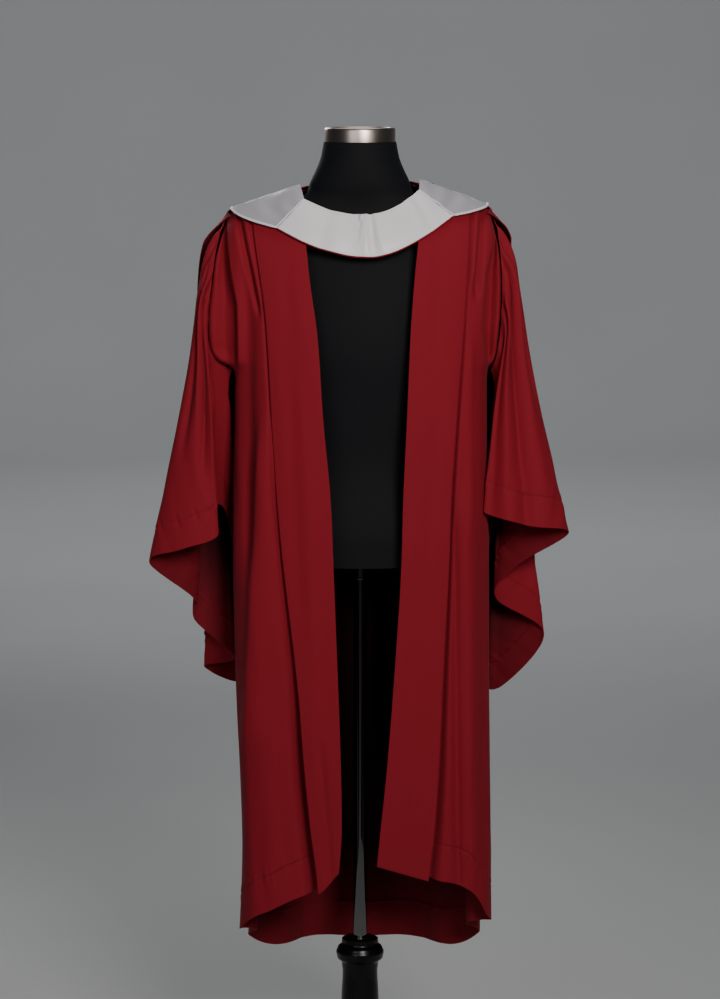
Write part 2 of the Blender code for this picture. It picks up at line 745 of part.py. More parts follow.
def make_clamp(finish):
    """The collar under the form, a ring round the pole."""
    inner = POLE_RADIUS + SEAM
    outer = POLE_RADIUS + CLAMP_WALL
    top, low = FORM_BOTTOM - SEAM, FORM_BOTTOM - CLAMP_HEIGHT
    profile = [(inner, top), (outer, top), (outer, low), (inner, low)]
    made = bmesh.new()
    count = 20
    loops = []
    for k in range(count):
        angle = 2.0 * math.pi * k / count
        loops.append([made.verts.new((r * math.cos(angle), r * math.sin(angle), z)) for r, z in profile])
    for k in range(count):
        here, there = loops[k], loops[(k + 1) % count]
        for j in range(len(profile)):
            n = (j + 1) % len(profile)
            made.faces.new((here[j], there[j], there[n], here[n]))
    bmesh.ops.recalc_face_normals(made, faces=made.faces)
    mesh = bpy.data.meshes.new("pole_clamp")
    made.to_mesh(mesh)
    made.free()
    mesh.materials.append(finish)
    piece = bpy.data.objects.new("pole_clamp", mesh)
    bpy.context.collection.objects.link(piece)
    return piece


def make_hub(finish):
    rings = [round_ring(turn.radius, turn.z, 28) for turn in HUB]
    return solid("hub", rings, finish)


def make_leg(number, finish):
    """A curved leg: flat-sided, deep at the hub, with a flat foot on the floor."""
    half = 0.5 * LEG_WIDTH
    rings = []
    for row in LEG:
        high = row.z + 0.5 * row.tall
        low = row.z - 0.5 * row.tall
        out = row.out
        rings.append([(out, -half, low), (out, half, low), (out, half, high), (out, -half, high)])
    for out, tall in ((LEG_REACH - FOOT_FLAT * FOOT_LENGTH, FOOT_TALL), (LEG_REACH, FOOT_TIP_TALL)):
        rings.append([(out, -half, 0.0), (out, half, 0.0), (out, half, tall), (out, -half, tall)])
    piece = solid(f"leg_{number + 1}", [[Vector(point) for point in ring] for ring in rings], finish)
    piece.rotation_euler.z = math.radians(-90.0 + 360.0 / LEG_COUNT * number)
    return piece


def stand_on_axis():
    """The frame's origin lies under the middle of the whole outline, so the pole stands a little off it."""
    axis = bpy.data.objects.new("pole_axis", None)
    bpy.context.collection.objects.link(axis)
    axis.location = (POLE_X, POLE_Y, 0.0)
    for piece in bpy.data.objects:
        if piece.type == "MESH":
            piece.parent = axis


def build():
    clear_scene()
    crimson = material("crimson_cloth", CRIMSON, 0.85, sheen=0.15)
    silver = material("silver_satin", SILVER, 0.42, sheen=0.1)
    black = material("form_jersey", FORM_BLACK, 0.8)
    gloss = material("black_gloss", GLOSS_BLACK, 0.25)
    chrome = material("chrome", CHROME, 0.12, metallic=1.0)

    for side, flip in (("left", True), ("right", False)):
        cloth(f"front_band_{side}", band_grid(side), CLOTH, crimson, flip)
        cloth(f"front_side_{side}", side_grid(side), CLOTH, crimson, flip)
        fore = sleeve_grid(side, 0.0, SLEEVE_SPLIT, UNDERARM_SEAM, OUTER_SEAM, 14)
        rear = sleeve_grid(side, SLEEVE_SPLIT, len(SLEEVE_LEFT), OUTER_SEAM, UNDERARM_SEAM, 22)
        cloth(f"sleeve_{side}_front", fore, CLOTH, crimson, flip)
        cloth(f"sleeve_{side}_back", rear, CLOTH, crimson, flip)
        cloth(f"hood_satin_{side}", satin_grid(side), SATIN, silver, flip)
    cloth("back", back_grid(), CLOTH, crimson, False)
    cloth("hood_cape", cape_grid(), CLOTH, crimson, False)
    cloth("hood_neckband", neckband_grid(), SATIN, silver, False)

    make_form(black)
    make_cap(chrome)
    make_pole(chrome)
    make_clamp(chrome)
    make_hub(gloss)
    for number in range(LEG_COUNT):
        make_leg(number, gloss)
    stand_on_axis()


build()
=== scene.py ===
"""Looks of the graduation gown on its dress form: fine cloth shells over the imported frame, in metres, +Z up.

The gown faces -Y and its left is -X. Cloth points are worked out about the pole and moved onto it last.
"""
import math
from collections import namedtuple

import bpy
import numpy as np
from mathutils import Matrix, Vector


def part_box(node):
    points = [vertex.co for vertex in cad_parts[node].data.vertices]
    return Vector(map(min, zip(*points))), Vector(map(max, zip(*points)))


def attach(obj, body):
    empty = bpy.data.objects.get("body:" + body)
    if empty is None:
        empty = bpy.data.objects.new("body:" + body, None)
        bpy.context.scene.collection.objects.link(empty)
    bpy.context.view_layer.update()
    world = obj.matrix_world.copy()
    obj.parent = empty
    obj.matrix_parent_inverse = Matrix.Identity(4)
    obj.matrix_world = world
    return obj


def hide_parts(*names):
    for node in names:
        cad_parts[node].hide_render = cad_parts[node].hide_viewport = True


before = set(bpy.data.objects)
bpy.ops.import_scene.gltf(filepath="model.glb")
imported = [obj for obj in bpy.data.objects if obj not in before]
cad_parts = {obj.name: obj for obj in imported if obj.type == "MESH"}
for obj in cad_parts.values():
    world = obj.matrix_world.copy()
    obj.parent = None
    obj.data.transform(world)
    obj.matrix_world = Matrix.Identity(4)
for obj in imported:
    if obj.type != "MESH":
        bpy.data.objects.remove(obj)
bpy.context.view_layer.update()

POLE_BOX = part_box("pole")
POLE = np.array([0.5 * (POLE_BOX[0].x + POLE_BOX[1].x), 0.5 * (POLE_BOX[0].y + POLE_BOX[1].y), 0.0])

# Driving sizes of the cloth, as the solids have them
CLOTH = 0.0018
SATIN = 0.0016
SINGLE = 0.0010
BACKING = 0.0010
EDGE_STAND = 0.0009
SEAM = 0.0004
CAPE_LIFT = 0.0056
SATIN_LIFT = 0.0100
SIDE_SEAM = 0.0007
SIDE_Y = -0.030
SQUARE = 2.6
ROLL = 0.095
UNDERARM = 1.215
TUCK = 0.008
PLEAT_GAP = 0.0019
SLEEVE_SEAT = {"left": 0.0010, "right": 0.0024}
SLEEVE_TOP = {"left": 1.452, "right": 1.456}
HEAD_BULGE = 0.016
HEAD_AT = 0.12
BACK_FLUTE_TOP = 1.20
BACK_HEM = 0.245
CAPE_HEM = 0.985
CAPE_CORNER = 0.13
EDGE_ROLL = 0.045
SHOULDER_READ = 1.5
HEM_READ = 0.42
SEAM_HEM_READ = 0.3
ARMHOLE_READ = 1.464
HEM_FALL = 0.25
SEAM_EASE = 0.028
SPREAD = 0.4
BAND_LIFT = 0.0075
BAND_RAISE = 0.001
MITRE_GAP = 0.006
SATIN_TOP_INNER = 0.0962
SATIN_TOP_OUTER = 0.206
SATIN_TOP_LIFT = 0.0065
CORNER_ROUND = 0.0085
CORNER_DROP = 0.0012
HEM_DEEP = 0.058
SLEEVE_HEM_DEEP = 0.050

# The gown's outline at a height: half widths to each side, and depths before and behind
Section = namedtuple("Section", "z left right front back")
BODY = [
    Section(0.24, 0.199, 0.214, 0.122, 0.172),
    Section(0.45, 0.191, 0.212, 0.124, 0.168),
    Section(0.70, 0.200, 0.208, 0.127, 0.160),
    Section(0.90, 0.204, 0.207, 0.132, 0.150),
    Section(1.05, 0.202, 0.204, 0.136, 0.142),
    Section(1.20, 0.200, 0.203, 0.136, 0.134),
    Section(1.32, 0.212, 0.210, 0.128, 0.124),
    Section(1.42, 0.222, 0.220, 0.110, 0.110),
    Section(1.51, 0.226, 0.222, 0.086, 0.092),
]

# Distances from the middle of the two opening edges, and of the two pleats beside the smooth front bands
Edge = namedtuple("Edge", "z left right")
OPENING = [
    Edge(0.30, 0.036, 0.020),
    Edge(0.416, 0.0345, 0.027),
    Edge(0.47, 0.0300, 0.032),
    Edge(0.60, 0.0315, 0.045),
    Edge(0.79, 0.0382, 0.059),
    Edge(0.91, 0.0427, 0.066),
    Edge(1.02, 0.0473, 0.069),
    Edge(1.145, 0.0587, 0.0746),
    Edge(1.275, 0.0675, 0.0800),
    Edge(1.363, 0.0797, 0.0862),
    Edge(1.43, 0.0868, 0.0929),
    Edge(1.51, 0.0970, 0.0990),
]
FRONT_PLEAT = [
    Edge(0.30, 0.061, 0.104),
    Edge(0.41, 0.069, 0.110),
    Edge(0.48, 0.078, 0.118),
    Edge(0.58, 0.088, 0.125),
    Edge(0.72, 0.099, 0.131),
    Edge(0.92, 0.122, 0.141),
    Edge(1.02, 0.131, 0.144),
    Edge(1.145, 0.139, 0.152),
    Edge(1.31, 0.149, 0.164),
    Edge(1.445, 0.168, 0.172),
    Edge(1.51, 0.172, 0.174),
]

# The crisp fold before each armhole: cloth outside it falls back
ARM_FOLD = [
    Edge(1.20, 0.1950, 0.1985),
    Edge(1.25, 0.1946, 0.1960),
    Edge(1.29, 0.1944, 0.1925),
    Edge(1.325, 0.1950, 0.1945),
    Edge(1.375, 0.2035, 0.1995),
    Edge(1.42, 0.2090, 0.2110),
    Edge(1.47, 0.2120, 0.2150),
]
ARM_FOLD_DEPTH = 0.024

# Heights of the shoulder line, by distance from the middle
Ridge = namedtuple("Ridge", "x left right")
SHOULDER = [
    Ridge(0.060, 1.503, 1.510),
    Ridge(0.095, 1.501, 1.508),
    Ridge(0.135, 1.487, 1.494),
    Ridge(0.176, 1.476, 1.482),
    Ridge(0.210, 1.463, 1.468),
]

# Front hem heights, by distance from the middle
Hem = namedtuple("Hem", "x left right")
FRONT_HEM = [
    Hem(0.025, 0.422, 0.427),
    Hem(0.036, 0.413, 0.424),
    Hem(0.057, 0.390, 0.418),
    Hem(0.090, 0.368, 0.408),
    Hem(0.115, 0.350, 0.400),
    Hem(0.136, 0.339, 0.392),
    Hem(0.160, 0.324, 0.372),
    Hem(0.185, 0.308, 0.336),
    Hem(0.214, 0.300, 0.318),
]

# The armhole's edge at a height: distance out, and depth before and behind
Armhole = namedtuple("Armhole", "z left right front back")
ARMHOLE = [
    Armhole(1.215, 0.2030, 0.2065, -0.028, -0.028),
    Armhole(1.228, 0.2240, 0.2120, -0.040, -0.008),
    Armhole(1.250, 0.2380, 0.2170, -0.048, 0.020),
    Armhole(1.300, 0.2400, 0.2220, -0.052, 0.036),
    Armhole(1.350, 0.2350, 0.2230, -0.050, 0.042),
    Armhole(1.400, 0.2290, 0.2210, -0.042, 0.038),
    Armhole(1.440, 0.2200, 0.2160, -0.025, 0.024),
    Armhole(1.464, 0.2100, 0.2085, 0.000, 0.000),
    Armhole(1.480, 0.2080, 0.2070, 0.000, 0.000),
]

# Where the front pleat hangs open near the hem: the height it opens from, and how far it falls back
Slit = namedtuple("Slit", "open_from depth")
SLITS = {"left": Slit(0.78, 0.012), "right": Slit(0.60, 0.006)}
SLIT_EASE = 0.25

# Soft flutes of the back: place from the left side seam (0) to the right (1), width and depth at the hem
Flute = namedtuple("Flute", "place width depth")
FLUTES = [
    Flute(0.055, 0.050, -0.026),
    Flute(0.150, 0.060, 0.008),
    Flute(0.270, 0.055, -0.014),
    Flute(0.380, 0.060, 0.010),
    Flute(0.500, 0.055, -0.013),
    Flute(0.620, 0.060, 0.010),
    Flute(0.730, 0.055, -0.012),
    Flute(0.850, 0.060, 0.008),
    Flute(0.945, 0.050, -0.040),
]

# A row for each fold line of a sleeve: where it leaves the armhole (0 underarm, 0.5 shoulder) and where it ends
Fold = namedtuple("Fold", "around x y z")
SLEEVE_LEFT = [
    Fold(0.00, -0.2120, 0.010, 0.970),
    Fold(0.10, -0.2360, -0.045, 0.995),
    Fold(0.18, -0.2270, -0.082, 0.955),
    Fold(0.32, -0.2830, -0.084, 0.934),
    Fold(0.46, -0.3385, -0.046, 0.908),
    Fold(0.58, -0.2680, 0.016, 0.838),
    Fold(0.66, -0.2700, 0.046, 0.800),
    Fold(0.74, -0.2060, 0.062, 0.735),
    Fold(0.82, -0.2570, 0.100, 0.714),
    Fold(0.90, -0.1960, 0.134, 0.684),
    Fold(0.96, -0.1860, 0.092, 0.760),
]
SLEEVE_RIGHT = [
    Fold(0.00, 0.2150, 0.010, 0.975),
    Fold(0.09, 0.2150, -0.040, 1.000),
    Fold(0.17, 0.1985, -0.084, 0.992),
    Fold(0.31, 0.2720, -0.090, 0.972),
    Fold(0.46, 0.3345, -0.046, 0.955),
    Fold(0.57, 0.2520, 0.008, 0.893),
    Fold(0.66, 0.2210, 0.034, 0.838),
    Fold(0.74, 0.3020, 0.070, 0.773),
    Fold(0.83, 0.2350, 0.110, 0.680),
    Fold(0.90, 0.2000, 0.126, 0.688),
    Fold(0.96, 0.1880, 0.086, 0.770),
]

# The hood's side edges at a height, and its top edge from the left shoulder (0) to the right (1)
Cape = namedtuple("Cape", "z left right edge depth")
CAPE = [
    Cape(0.95, 0.160, 0.155, 0.115, 0.180),
    Cape(1.05, 0.215, 0.205, 0.098, 0.174),
    Cape(1.15, 0.246, 0.232, 0.082, 0.167),
    Cape(1.25, 0.260, 0.243, 0.064, 0.158),
    Cape(1.32, 0.2625, 0.2450, 0.046, 0.149),
    Cape(1.38, 0.2590, 0.2445, 0.030, 0.139),
    Cape(1.42, 0.2500, 0.2430, 0.018, 0.130),
    Cape(1.446, 0.2340, 0.2360, 0.008, 0.122),
    Cape(1.475, 0.2140, 0.2130, 0.000, 0.112),
    Cape(1.510, 0.2100, 0.2080, 0.000, 0.102),
]
Top = namedtuple("Top", "across x y z")
NECK_ROWS = [
    Top(0.00, -0.2060, -0.030, 1.4600),
    Top(0.07, -0.2090, -0.004, 1.4685),
    Top(0.18, -0.1550, 0.001, 1.4850),
    Top(0.30, -0.0960, 0.001, 1.5035),
    Top(0.38, -0.0740, 0.042, 1.5060),
    Top(0.50, 0.0000, 0.074, 1.5000),
    Top(0.62, 0.0740, 0.042, 1.5120),
    Top(0.70, 0.0965, 0.001, 1.5105),
    Top(0.82, 0.1550, 0.001, 1.4920),
    Top(0.93, 0.2060, -0.004, 1.4740),
    Top(1.00, 0.2040, -0.030, 1.4655),
]

# The satin band across the chest: upper and lower edge, from the left mitre to the right
BandRow = namedtuple("BandRow", "row top_x top_z low_x low_z")
NECKBAND = [
    BandRow(0, -0.0885, 1.4870, -0.1293, 1.4440),
    BandRow(1, -0.0560, 1.4735, -0.0871, 1.4235),
    BandRow(2, -0.0225, 1.4655, -0.0471, 1.4100),
    BandRow(3, 0.0050, 1.4645, -0.0020, 1.4015),
    BandRow(4, 0.0308, 1.4665, 0.0420, 1.4050),
    BandRow(5, 0.0640, 1.4800, 0.0932, 1.4280),
    BandRow(6, 0.0940, 1.5010, 0.1458, 1.4620),
]

# The satin turned out behind the shoulder: its inner and outer edge, as the hood's place across and drop
StripRow = namedtuple("StripRow", "row inner inner_drop outer outer_drop")
SATIN_BACK = [
    StripRow(0, 0.305, 0.002, 0.075, 0.002),
    StripRow(1, 0.330, 0.018, 0.090, 0.045),
    StripRow(2, 0.375, 0.070, 0.150, 0.120),
    StripRow(3, 0.425, 0.160, 0.250, 0.225),
    StripRow(4, 0.470, 0.250, 0.370, 0.325),
    StripRow(5, 0.498, 0.300, 0.498, 0.385),
]

# The dress form's outline at a height
FORM = [
    Section(0.904, 0.160, 0.160, 0.100, 0.096),
    Section(0.960, 0.163, 0.163, 0.102, 0.104),
    Section(1.060, 0.138, 0.138, 0.090, 0.088),
    Section(1.160, 0.146, 0.146, 0.100, 0.092),
    Section(1.260, 0.164, 0.164, 0.112, 0.100),
    Section(1.360, 0.184, 0.184, 0.100, 0.094),
    Section(1.420, 0.186, 0.186, 0.078, 0.080),
    Section(1.450, 0.176, 0.176, 0.058, 0.062),
    Section(1.468, 0.148, 0.148, 0.048, 0.054),
    Section(1.482, 0.108, 0.108, 0.048, 0.054),
    Section(1.494, 0.0870, 0.0870, 0.050, 0.056),
    Section(1.512, 0.0800, 0.0800, 0.054, 0.058),
    Section(1.548, 0.0640, 0.0640, 0.056, 0.060),
    Section(1.577, 0.0578, 0.0578, 0.056, 0.058),
]

# The turned hub: height and radius down its side
Turn = namedtuple("Turn", "z radius")
HUB = [
    Turn(0.2830, 0.0240),
    Turn(0.2800, 0.0295),
    Turn(0.2720, 0.0300),
    Turn(0.2660, 0.0360),
    Turn(0.2580, 0.0390),
    Turn(0.2490, 0.0375),
    Turn(0.2410, 0.0300),
    Turn(0.2260, 0.0285),
    Turn(0.1770, 0.0305),
    Turn(0.1500, 0.0345),
    Turn(0.0950, 0.0345),
    Turn(0.0880, 0.0300),
    Turn(0.0760, 0.0180),
    Turn(0.0700, 0.0090),
]

# Creases of a front: a straight line from a top point to a low one, the width to each side of it and its depth
Crease = namedtuple("Crease", "top_x top_z low_x low_z outside inside depth fade")
SIDE_CREASES = {
    "left": [
        Crease(0.1945, 1.475, 0.1660, 1.330, 0.0050, 0.0042, -0.0080, 0.035),
        Crease(0.1860, 1.475, 0.1590, 1.350, 0.0060, 0.0060, 0.0035, 0.035),
        Crease(0.1820, 1.300, 0.1830, 0.980, 0.0110, 0.0185, -0.0115, 0.12),
        Crease(0.1575, 1.060, 0.1740, 0.690, 0.0110, 0.0280, 0.0120, 0.12),
        Crease(0.1780, 0.620, 0.1700, 0.380, 0.0160, 0.0160, 0.0030, 0.08),
        Crease(0.1480, 0.620, 0.1420, 0.400, 0.0180, 0.0160, 0.0030, 0.06),
    ],
    "right": [
        Crease(0.1950, 1.480, 0.1860, 1.360, 0.0070, 0.0048, -0.0085, 0.04),
        Crease(0.1870, 1.480, 0.1790, 1.380, 0.0050, 0.0080, 0.0045, 0.04),
        Crease(0.1740, 1.240, 0.1740, 1.020, 0.0080, 0.0080, 0.0030, 0.08),
        Crease(0.1520, 0.950, 0.1600, 0.420, 0.0045, 0.0110, -0.0065, 0.08),
        Crease(0.1680, 0.960, 0.1760, 0.440, 0.0160, 0.0080, 0.0060, 0.10),
        Crease(0.1960, 0.900, 0.1980, 0.500, 0.0100, 0.0100, -0.0030, 0.10),
    ],
}
BAND_CREASES = {
    "left": [
        Crease(0.1150, 1.330, 0.0980, 0.900, 0.0140, 0.0140, -0.0014, 0.12),
        Crease(0.0900, 1.150, 0.0700, 0.640, 0.0120, 0.0120, 0.0014, 0.12),
        Crease(0.0620, 0.600, 0.0480, 0.430, 0.0090, 0.0060, -0.0022, 0.05),
    ],
    "right": [
        Crease(0.1250, 1.360, 0.1120, 1.000, 0.0140, 0.0140, -0.0014, 0.12),
        Crease(0.1000, 1.100, 0.0880, 0.600, 0.0120, 0.0120, 0.0014, 0.12),
    ],
}

# The trough beside each front strip, where the pleat falls back: its depth and width at a height
Trough = namedtuple("Trough", "z left left_width right right_width")
PLEAT_TROUGH = [
    Trough(0.30, 0.023, 0.0140, 0.020, 0.0115),
    Trough(0.55, 0.023, 0.0140, 0.020, 0.0100),
    Trough(0.75, 0.016, 0.0110, 0.018, 0.0075),
    Trough(0.95, 0.009, 0.0060, 0.014, 0.0052),
    Trough(1.15, 0.005, 0.0045, 0.010, 0.0046),
    Trough(1.30, 0.004, 0.0042, 0.006, 0.0042),
    Trough(1.51, 0.004, 0.0050, 0.003, 0.0050),
]

# Creases of a sleeve: its place among the fold lines, where down the sleeve it runs, its width in places and depth
SleeveCrease = namedtuple("SleeveCrease", "at top low width depth")
SLEEVE_CREASES = {
    "left": [
        SleeveCrease(2.55, 0.00, 0.55, 0.16, -0.0080),
        SleeveCrease(3.00, 0.00, 0.40, 0.14, 0.0045),
        SleeveCrease(3.40, 0.00, 0.50, 0.15, -0.0070),
        SleeveCrease(2.15, 0.02, 0.60, 0.13, 0.0050),
        SleeveCrease(1.30, 0.15, 0.75, 0.22, -0.0100),
        SleeveCrease(0.70, 0.05, 0.30, 0.20, 0.0080),
        SleeveCrease(4.80, 0.05, 0.75, 0.18, -0.0060),
        SleeveCrease(5.60, 0.10, 0.80, 0.20, 0.0060),
        SleeveCrease(6.50, 0.05, 0.75, 0.18, -0.0070),
        SleeveCrease(8.40, 0.05, 0.85, 0.20, -0.0060),
        SleeveCrease(10.55, 0.25, 0.65, 0.40, 0.0105),
    ],
    "right": [
        SleeveCrease(2.20, 0.00, 0.95, 0.16, -0.0040),
        SleeveCrease(2.55, 0.05, 1.00, 0.17, 0.0065),
        SleeveCrease(2.95, 0.05, 1.00, 0.17, -0.0095),
        SleeveCrease(3.40, 0.02, 0.80, 0.18, 0.0050),
        SleeveCrease(3.75, 0.00, 0.45, 0.12, -0.0050),
        SleeveCrease(1.10, 0.05, 0.70, 0.25, -0.0080),
        SleeveCrease(4.90, 0.05, 0.75, 0.18, -0.0060),
        SleeveCrease(5.60, 0.10, 0.80, 0.20, 0.0060),
        SleeveCrease(6.60, 0.05, 0.75, 0.18, -0.0070),
        SleeveCrease(8.40, 0.05, 0.85, 0.20, -0.0060),
        SleeveCrease(10.55, 0.25, 0.65, 0.40, 0.0080),
    ],
}
GATHER_PLEATS = 13
GATHER_DEPTH = 0.0036
GATHER_REACH = 0.16
ARMHOLE_STITCH_ROW = 3
ARMHOLE_STITCH_LIFT = 0.0001

# Creases of the satin band: place between its mitres, lean to the low edge, width and depth
BandCrease = namedtuple("BandCrease", "at lean width depth")
NECK_CREASES = [
    BandCrease(0.70, -0.10, 0.34, 0.0010),
    BandCrease(1.40, 0.25, 0.24, -0.0016),
    BandCrease(1.95, 0.35, 0.28, 0.0014),
    BandCrease(2.60, 0.25, 0.26, -0.0013),
    BandCrease(3.22, 0.05, 0.15, 0.0022),
    BandCrease(3.52, 0.14, 0.15, -0.0034),
    BandCrease(3.86, 0.20, 0.17, 0.0026),
    BandCrease(4.55, 0.10, 0.30, -0.0012),
    BandCrease(5.20, -0.25, 0.18, 0.0018),
    BandCrease(5.55, -0.20, 0.14, -0.0016),
]

CRIMSON = (0.262, 0.0076, 0.0185)
CRIMSON_LOW = (0.218, 0.0062, 0.0150)
SILVER = (0.860, 0.812, 0.822)
# Painted shade: the satin turned out behind the shoulders, darker for its dimmer sheen
SILVER_PAINTED_SHADE = (0.400, 0.380, 0.408)
PIPING = (0.860, 0.830, 0.835)
FORM_BLACK = (0.0026, 0.0029, 0.0042)
GLOSS_BLACK = (0.0025, 0.0025, 0.0028)
CAP_METAL = (0.480, 0.395, 0.350)
# Painted shade: the pole's chrome darkened for the shade inside the gown
POLE_METAL_SHADED = (0.240, 0.230, 0.230)
# Painted shade: the cloth's inner faces take the twill darkened by this factor
INSIDE_PAINTED_SHADE = 0.66
# Painted hollow shade inside the sleeves and back: its darkest share, and the distances above the hem that it darkens
# between
HOLLOW_PAINTED_SHADE = 0.10
HOLLOW_SHADE_FROM = 0.045
HOLLOW_SHADE_TO = 0.165
REAR_FOLDS = 4.4


def smooth_read(rows, at, column):
    """A column's value at a place in the first column, on a smooth curve through the rows."""
    last = len(rows) - 1
    k = 0
    while k < last - 1 and rows[k + 1][0] < at:
        k += 1

    def value(i):
        return getattr(rows[max(0, min(last, i))], column)

    def place(i):
        return rows[max(0, min(last, i))][0]

    def slope(i):
        return (value(i + 1) - value(i - 1)) / (place(i + 1) - place(i - 1))

    span = place(k + 1) - place(k)
    t = max(0.0, min(1.0, (at - place(k)) / span))
    rise = t * t * (3.0 - 2.0 * t)
    leave = t * (1.0 - t) ** 2 * span * slope(k)
    arrive = t * t * (1.0 - t) * span * slope(k + 1)
    return value(k) + (value(k + 1) - value(k)) * rise + leave - arrive


def ring_read(rows, at, column):
    """A column's value at a fractional row of a closed ring of rows, on a smooth curve."""
    count = len(rows)
    k = math.floor(at)
    t = at - k
    turns = 1.0 if column == "around" else 0.0

    def value(i):
        return getattr(rows[i % count], column) + turns * (i // count)

    a, b, c, d = (value(k + step) for step in (-1, 0, 1, 2))
    bend = (2.0 * a - 5.0 * b + 4.0 * c - d) * t * t + (3.0 * b - a - 3.0 * c + d) * t ** 3
    return b + 0.5 * ((c - a) * t + bend)


def mix(a, b, t):
    return a + (b - a) * t


def ease(value):
    """A smooth step from 0 to 1."""
    t = np.clip(value, 0.0, 1.0)
    return t * t * (3.0 - 2.0 * t)


def side_of(x):
    return "left" if x < 0.0 else "right"


def roll(drop, radius=ROLL):
    """How far cloth that leaves a shoulder line level has turned down, from 0 to 1."""
    t = max(0.0, min(1.0, drop / radius))
    return math.sqrt(1.0 - (1.0 - t) ** 2)


def ridge_z(x):
    return smooth_read(SHOULDER, abs(x), side_of(x))


def front_y(x, z):
    """The gown's front surface, also carried on across the opening, where the neckband lies."""
    wide = smooth_read(BODY, z, side_of(x))
    deep = smooth_read(BODY, z, "front") + SIDE_Y
    share = min(1.0, abs(x) / wide)
    full = SIDE_Y - deep * (1.0 - share ** SQUARE) ** (1.0 / SQUARE)
    return full * roll(ridge_z(x) - z)


def heights(top, hem, rolls=8, upper=10, lower=26):
    """Row heights down a panel: close together over the shoulder, then to the underarm and on to the hem."""
    rows = [top - ROLL * (1.0 - math.cos(0.5 * math.pi * k / rolls)) for k in range(rolls + 1)]
    turned = rows[-1]
    rows += [mix(turned, UNDERARM, k / upper) for k in range(1, upper + 1)]
    rows += [mix(UNDERARM, hem, k / lower) for k in range(1, lower + 1)]
    return rows


def band_points(side, columns=10):
    """The smooth front strip from the opening edge to its pleat, shoulder to hem."""
    sign = -1.0 if side == "left" else 1.0
    grid = []
    for k in range(columns + 1):
        across = k / columns
        top_x = mix(smooth_read(OPENING, SHOULDER_READ, side), smooth_read(FRONT_PLEAT, SHOULDER_READ, side), across)
        low_x = mix(smooth_read(OPENING, HEM_READ, side), smooth_read(FRONT_PLEAT, HEM_READ, side), across)
        line = []
        for z in heights(ridge_z(sign * top_x), smooth_read(FRONT_HEM, low_x, side)):
            x = sign * mix(smooth_read(OPENING, z, side), smooth_read(FRONT_PLEAT, z, side), across)
            line.append((x, front_y(x, z) - SEAM, z))
        grid.append(line)
    return np.array(grid)


def side_edge(side, z):
    """The outer edge of a front: the armhole above the underarm, the side seam below it."""
    if z > UNDERARM:
        return smooth_read(ARMHOLE, z, side), smooth_read(ARMHOLE, z, "front")
    return smooth_read(BODY, z, side), SIDE_Y


def side_points(side, columns=26):
    """The outer part of a front: tucked behind the strip's pleat, round to the side seam and armhole."""
    sign = -1.0 if side == "left" else 1.0
    grid = []
    for k in range(columns + 1):
        across = k / columns
        start = smooth_read(FRONT_PLEAT, SHOULDER_READ, side) - TUCK
        end = smooth_read(ARMHOLE, ARMHOLE_READ, side)
        low_start = smooth_read(FRONT_PLEAT, HEM_READ, side) - TUCK
        low = mix(low_start, smooth_read(BODY, SEAM_HEM_READ, side), across)
        top_x = mix(start, end, across)
        line = []
        for z in heights(ridge_z(sign * top_x), smooth_read(FRONT_HEM, low, side)):
            wide = smooth_read(BODY, z, side)
            deep = smooth_read(BODY, z, "front") + SIDE_Y
            edge_x, edge_y = side_edge(side, z)
            inner = smooth_read(FRONT_PLEAT, z, side) - TUCK
            first = math.asin(min(1.0, inner / wide) ** (0.5 * SQUARE))
            angle = mix(first, 0.5 * math.pi, across)
            x = wide * math.sin(angle) ** (2.0 / SQUARE)
            y = SIDE_Y - deep * max(0.0, math.cos(angle)) ** (2.0 / SQUARE)
            pull = across ** 3
            x += pull * (edge_x - wide)
            y += pull * (edge_y - SIDE_Y)
            x = mix(top_x, x, roll(ridge_z(sign * top_x) - z))
            turned = roll(max(ridge_z(sign * top_x), ridge_z(sign * x)) - z)
            behind = (CLOTH + PLEAT_GAP) * max(0.0, 1.0 - across * 2.5)
            recess = slit(side, z) * max(0.0, 1.0 - across * 1.6)
            y = y * turned + behind * turned + recess - mix(SEAM, SIDE_SEAM, across)
            line.append((sign * x, y, z - behind * math.sqrt(1.0 - turned * turned)))
        grid.append(line)
    return np.array(grid)


def slit(side, z):
    """How far the cloth beside the strip falls back where the pleat hangs open near the hem."""
    fall = max(0.0, min(1.0, (SLITS[side].open_from - z) / SLIT_EASE))
    return SLITS[side].depth * fall * fall * (3.0 - 2.0 * fall)


def back_points(columns=68):
    """The full back, from side seam to side seam, its flutes deepening to the hem."""
    grid = []
    for k in range(columns + 1):
        across = k / columns
        top = Vector([smooth_read(NECK_ROWS, mix(0.07, 0.93, across), axis) for axis in "xyz"])
        top.z -= CAPE_LIFT
        top.y = max(top.y, 0.0)
        angle = math.pi * across
        side = "left" if across < 0.5 else "right"
        sign = -1.0 if across < 0.5 else 1.0
        line = []
        for z in heights(top.z, back_hem(across)):
            wide = smooth_read(BODY, z, side)
            deep = smooth_read(BODY, z, "back") - SIDE_Y
            flute = flute_depth(across, z)
            x = -(wide * math.cos(angle))
            y = SIDE_Y + (deep + flute) * math.sin(angle)
            y += flute * (1.0 - math.sin(angle)) * SPREAD
            x -= sign * abs(flute) * abs(math.cos(angle)) * (1.0 if flute < 0.0 else -0.5)
            if z > UNDERARM:
                pull = abs(2.0 * across - 1.0) ** 5
                edge_x = smooth_read(ARMHOLE, z, side)
                edge_y = smooth_read(ARMHOLE, z, "back")
                x += sign * pull * (edge_x - wide)
                y += pull * (edge_y - SIDE_Y)
            turned = roll(top.z - z)
            x = mix(top.x, x, turned)
            y = mix(top.y, y, turned)
            line.append((x, y + SIDE_SEAM, z))
        grid.append(line)
    return np.array(grid)


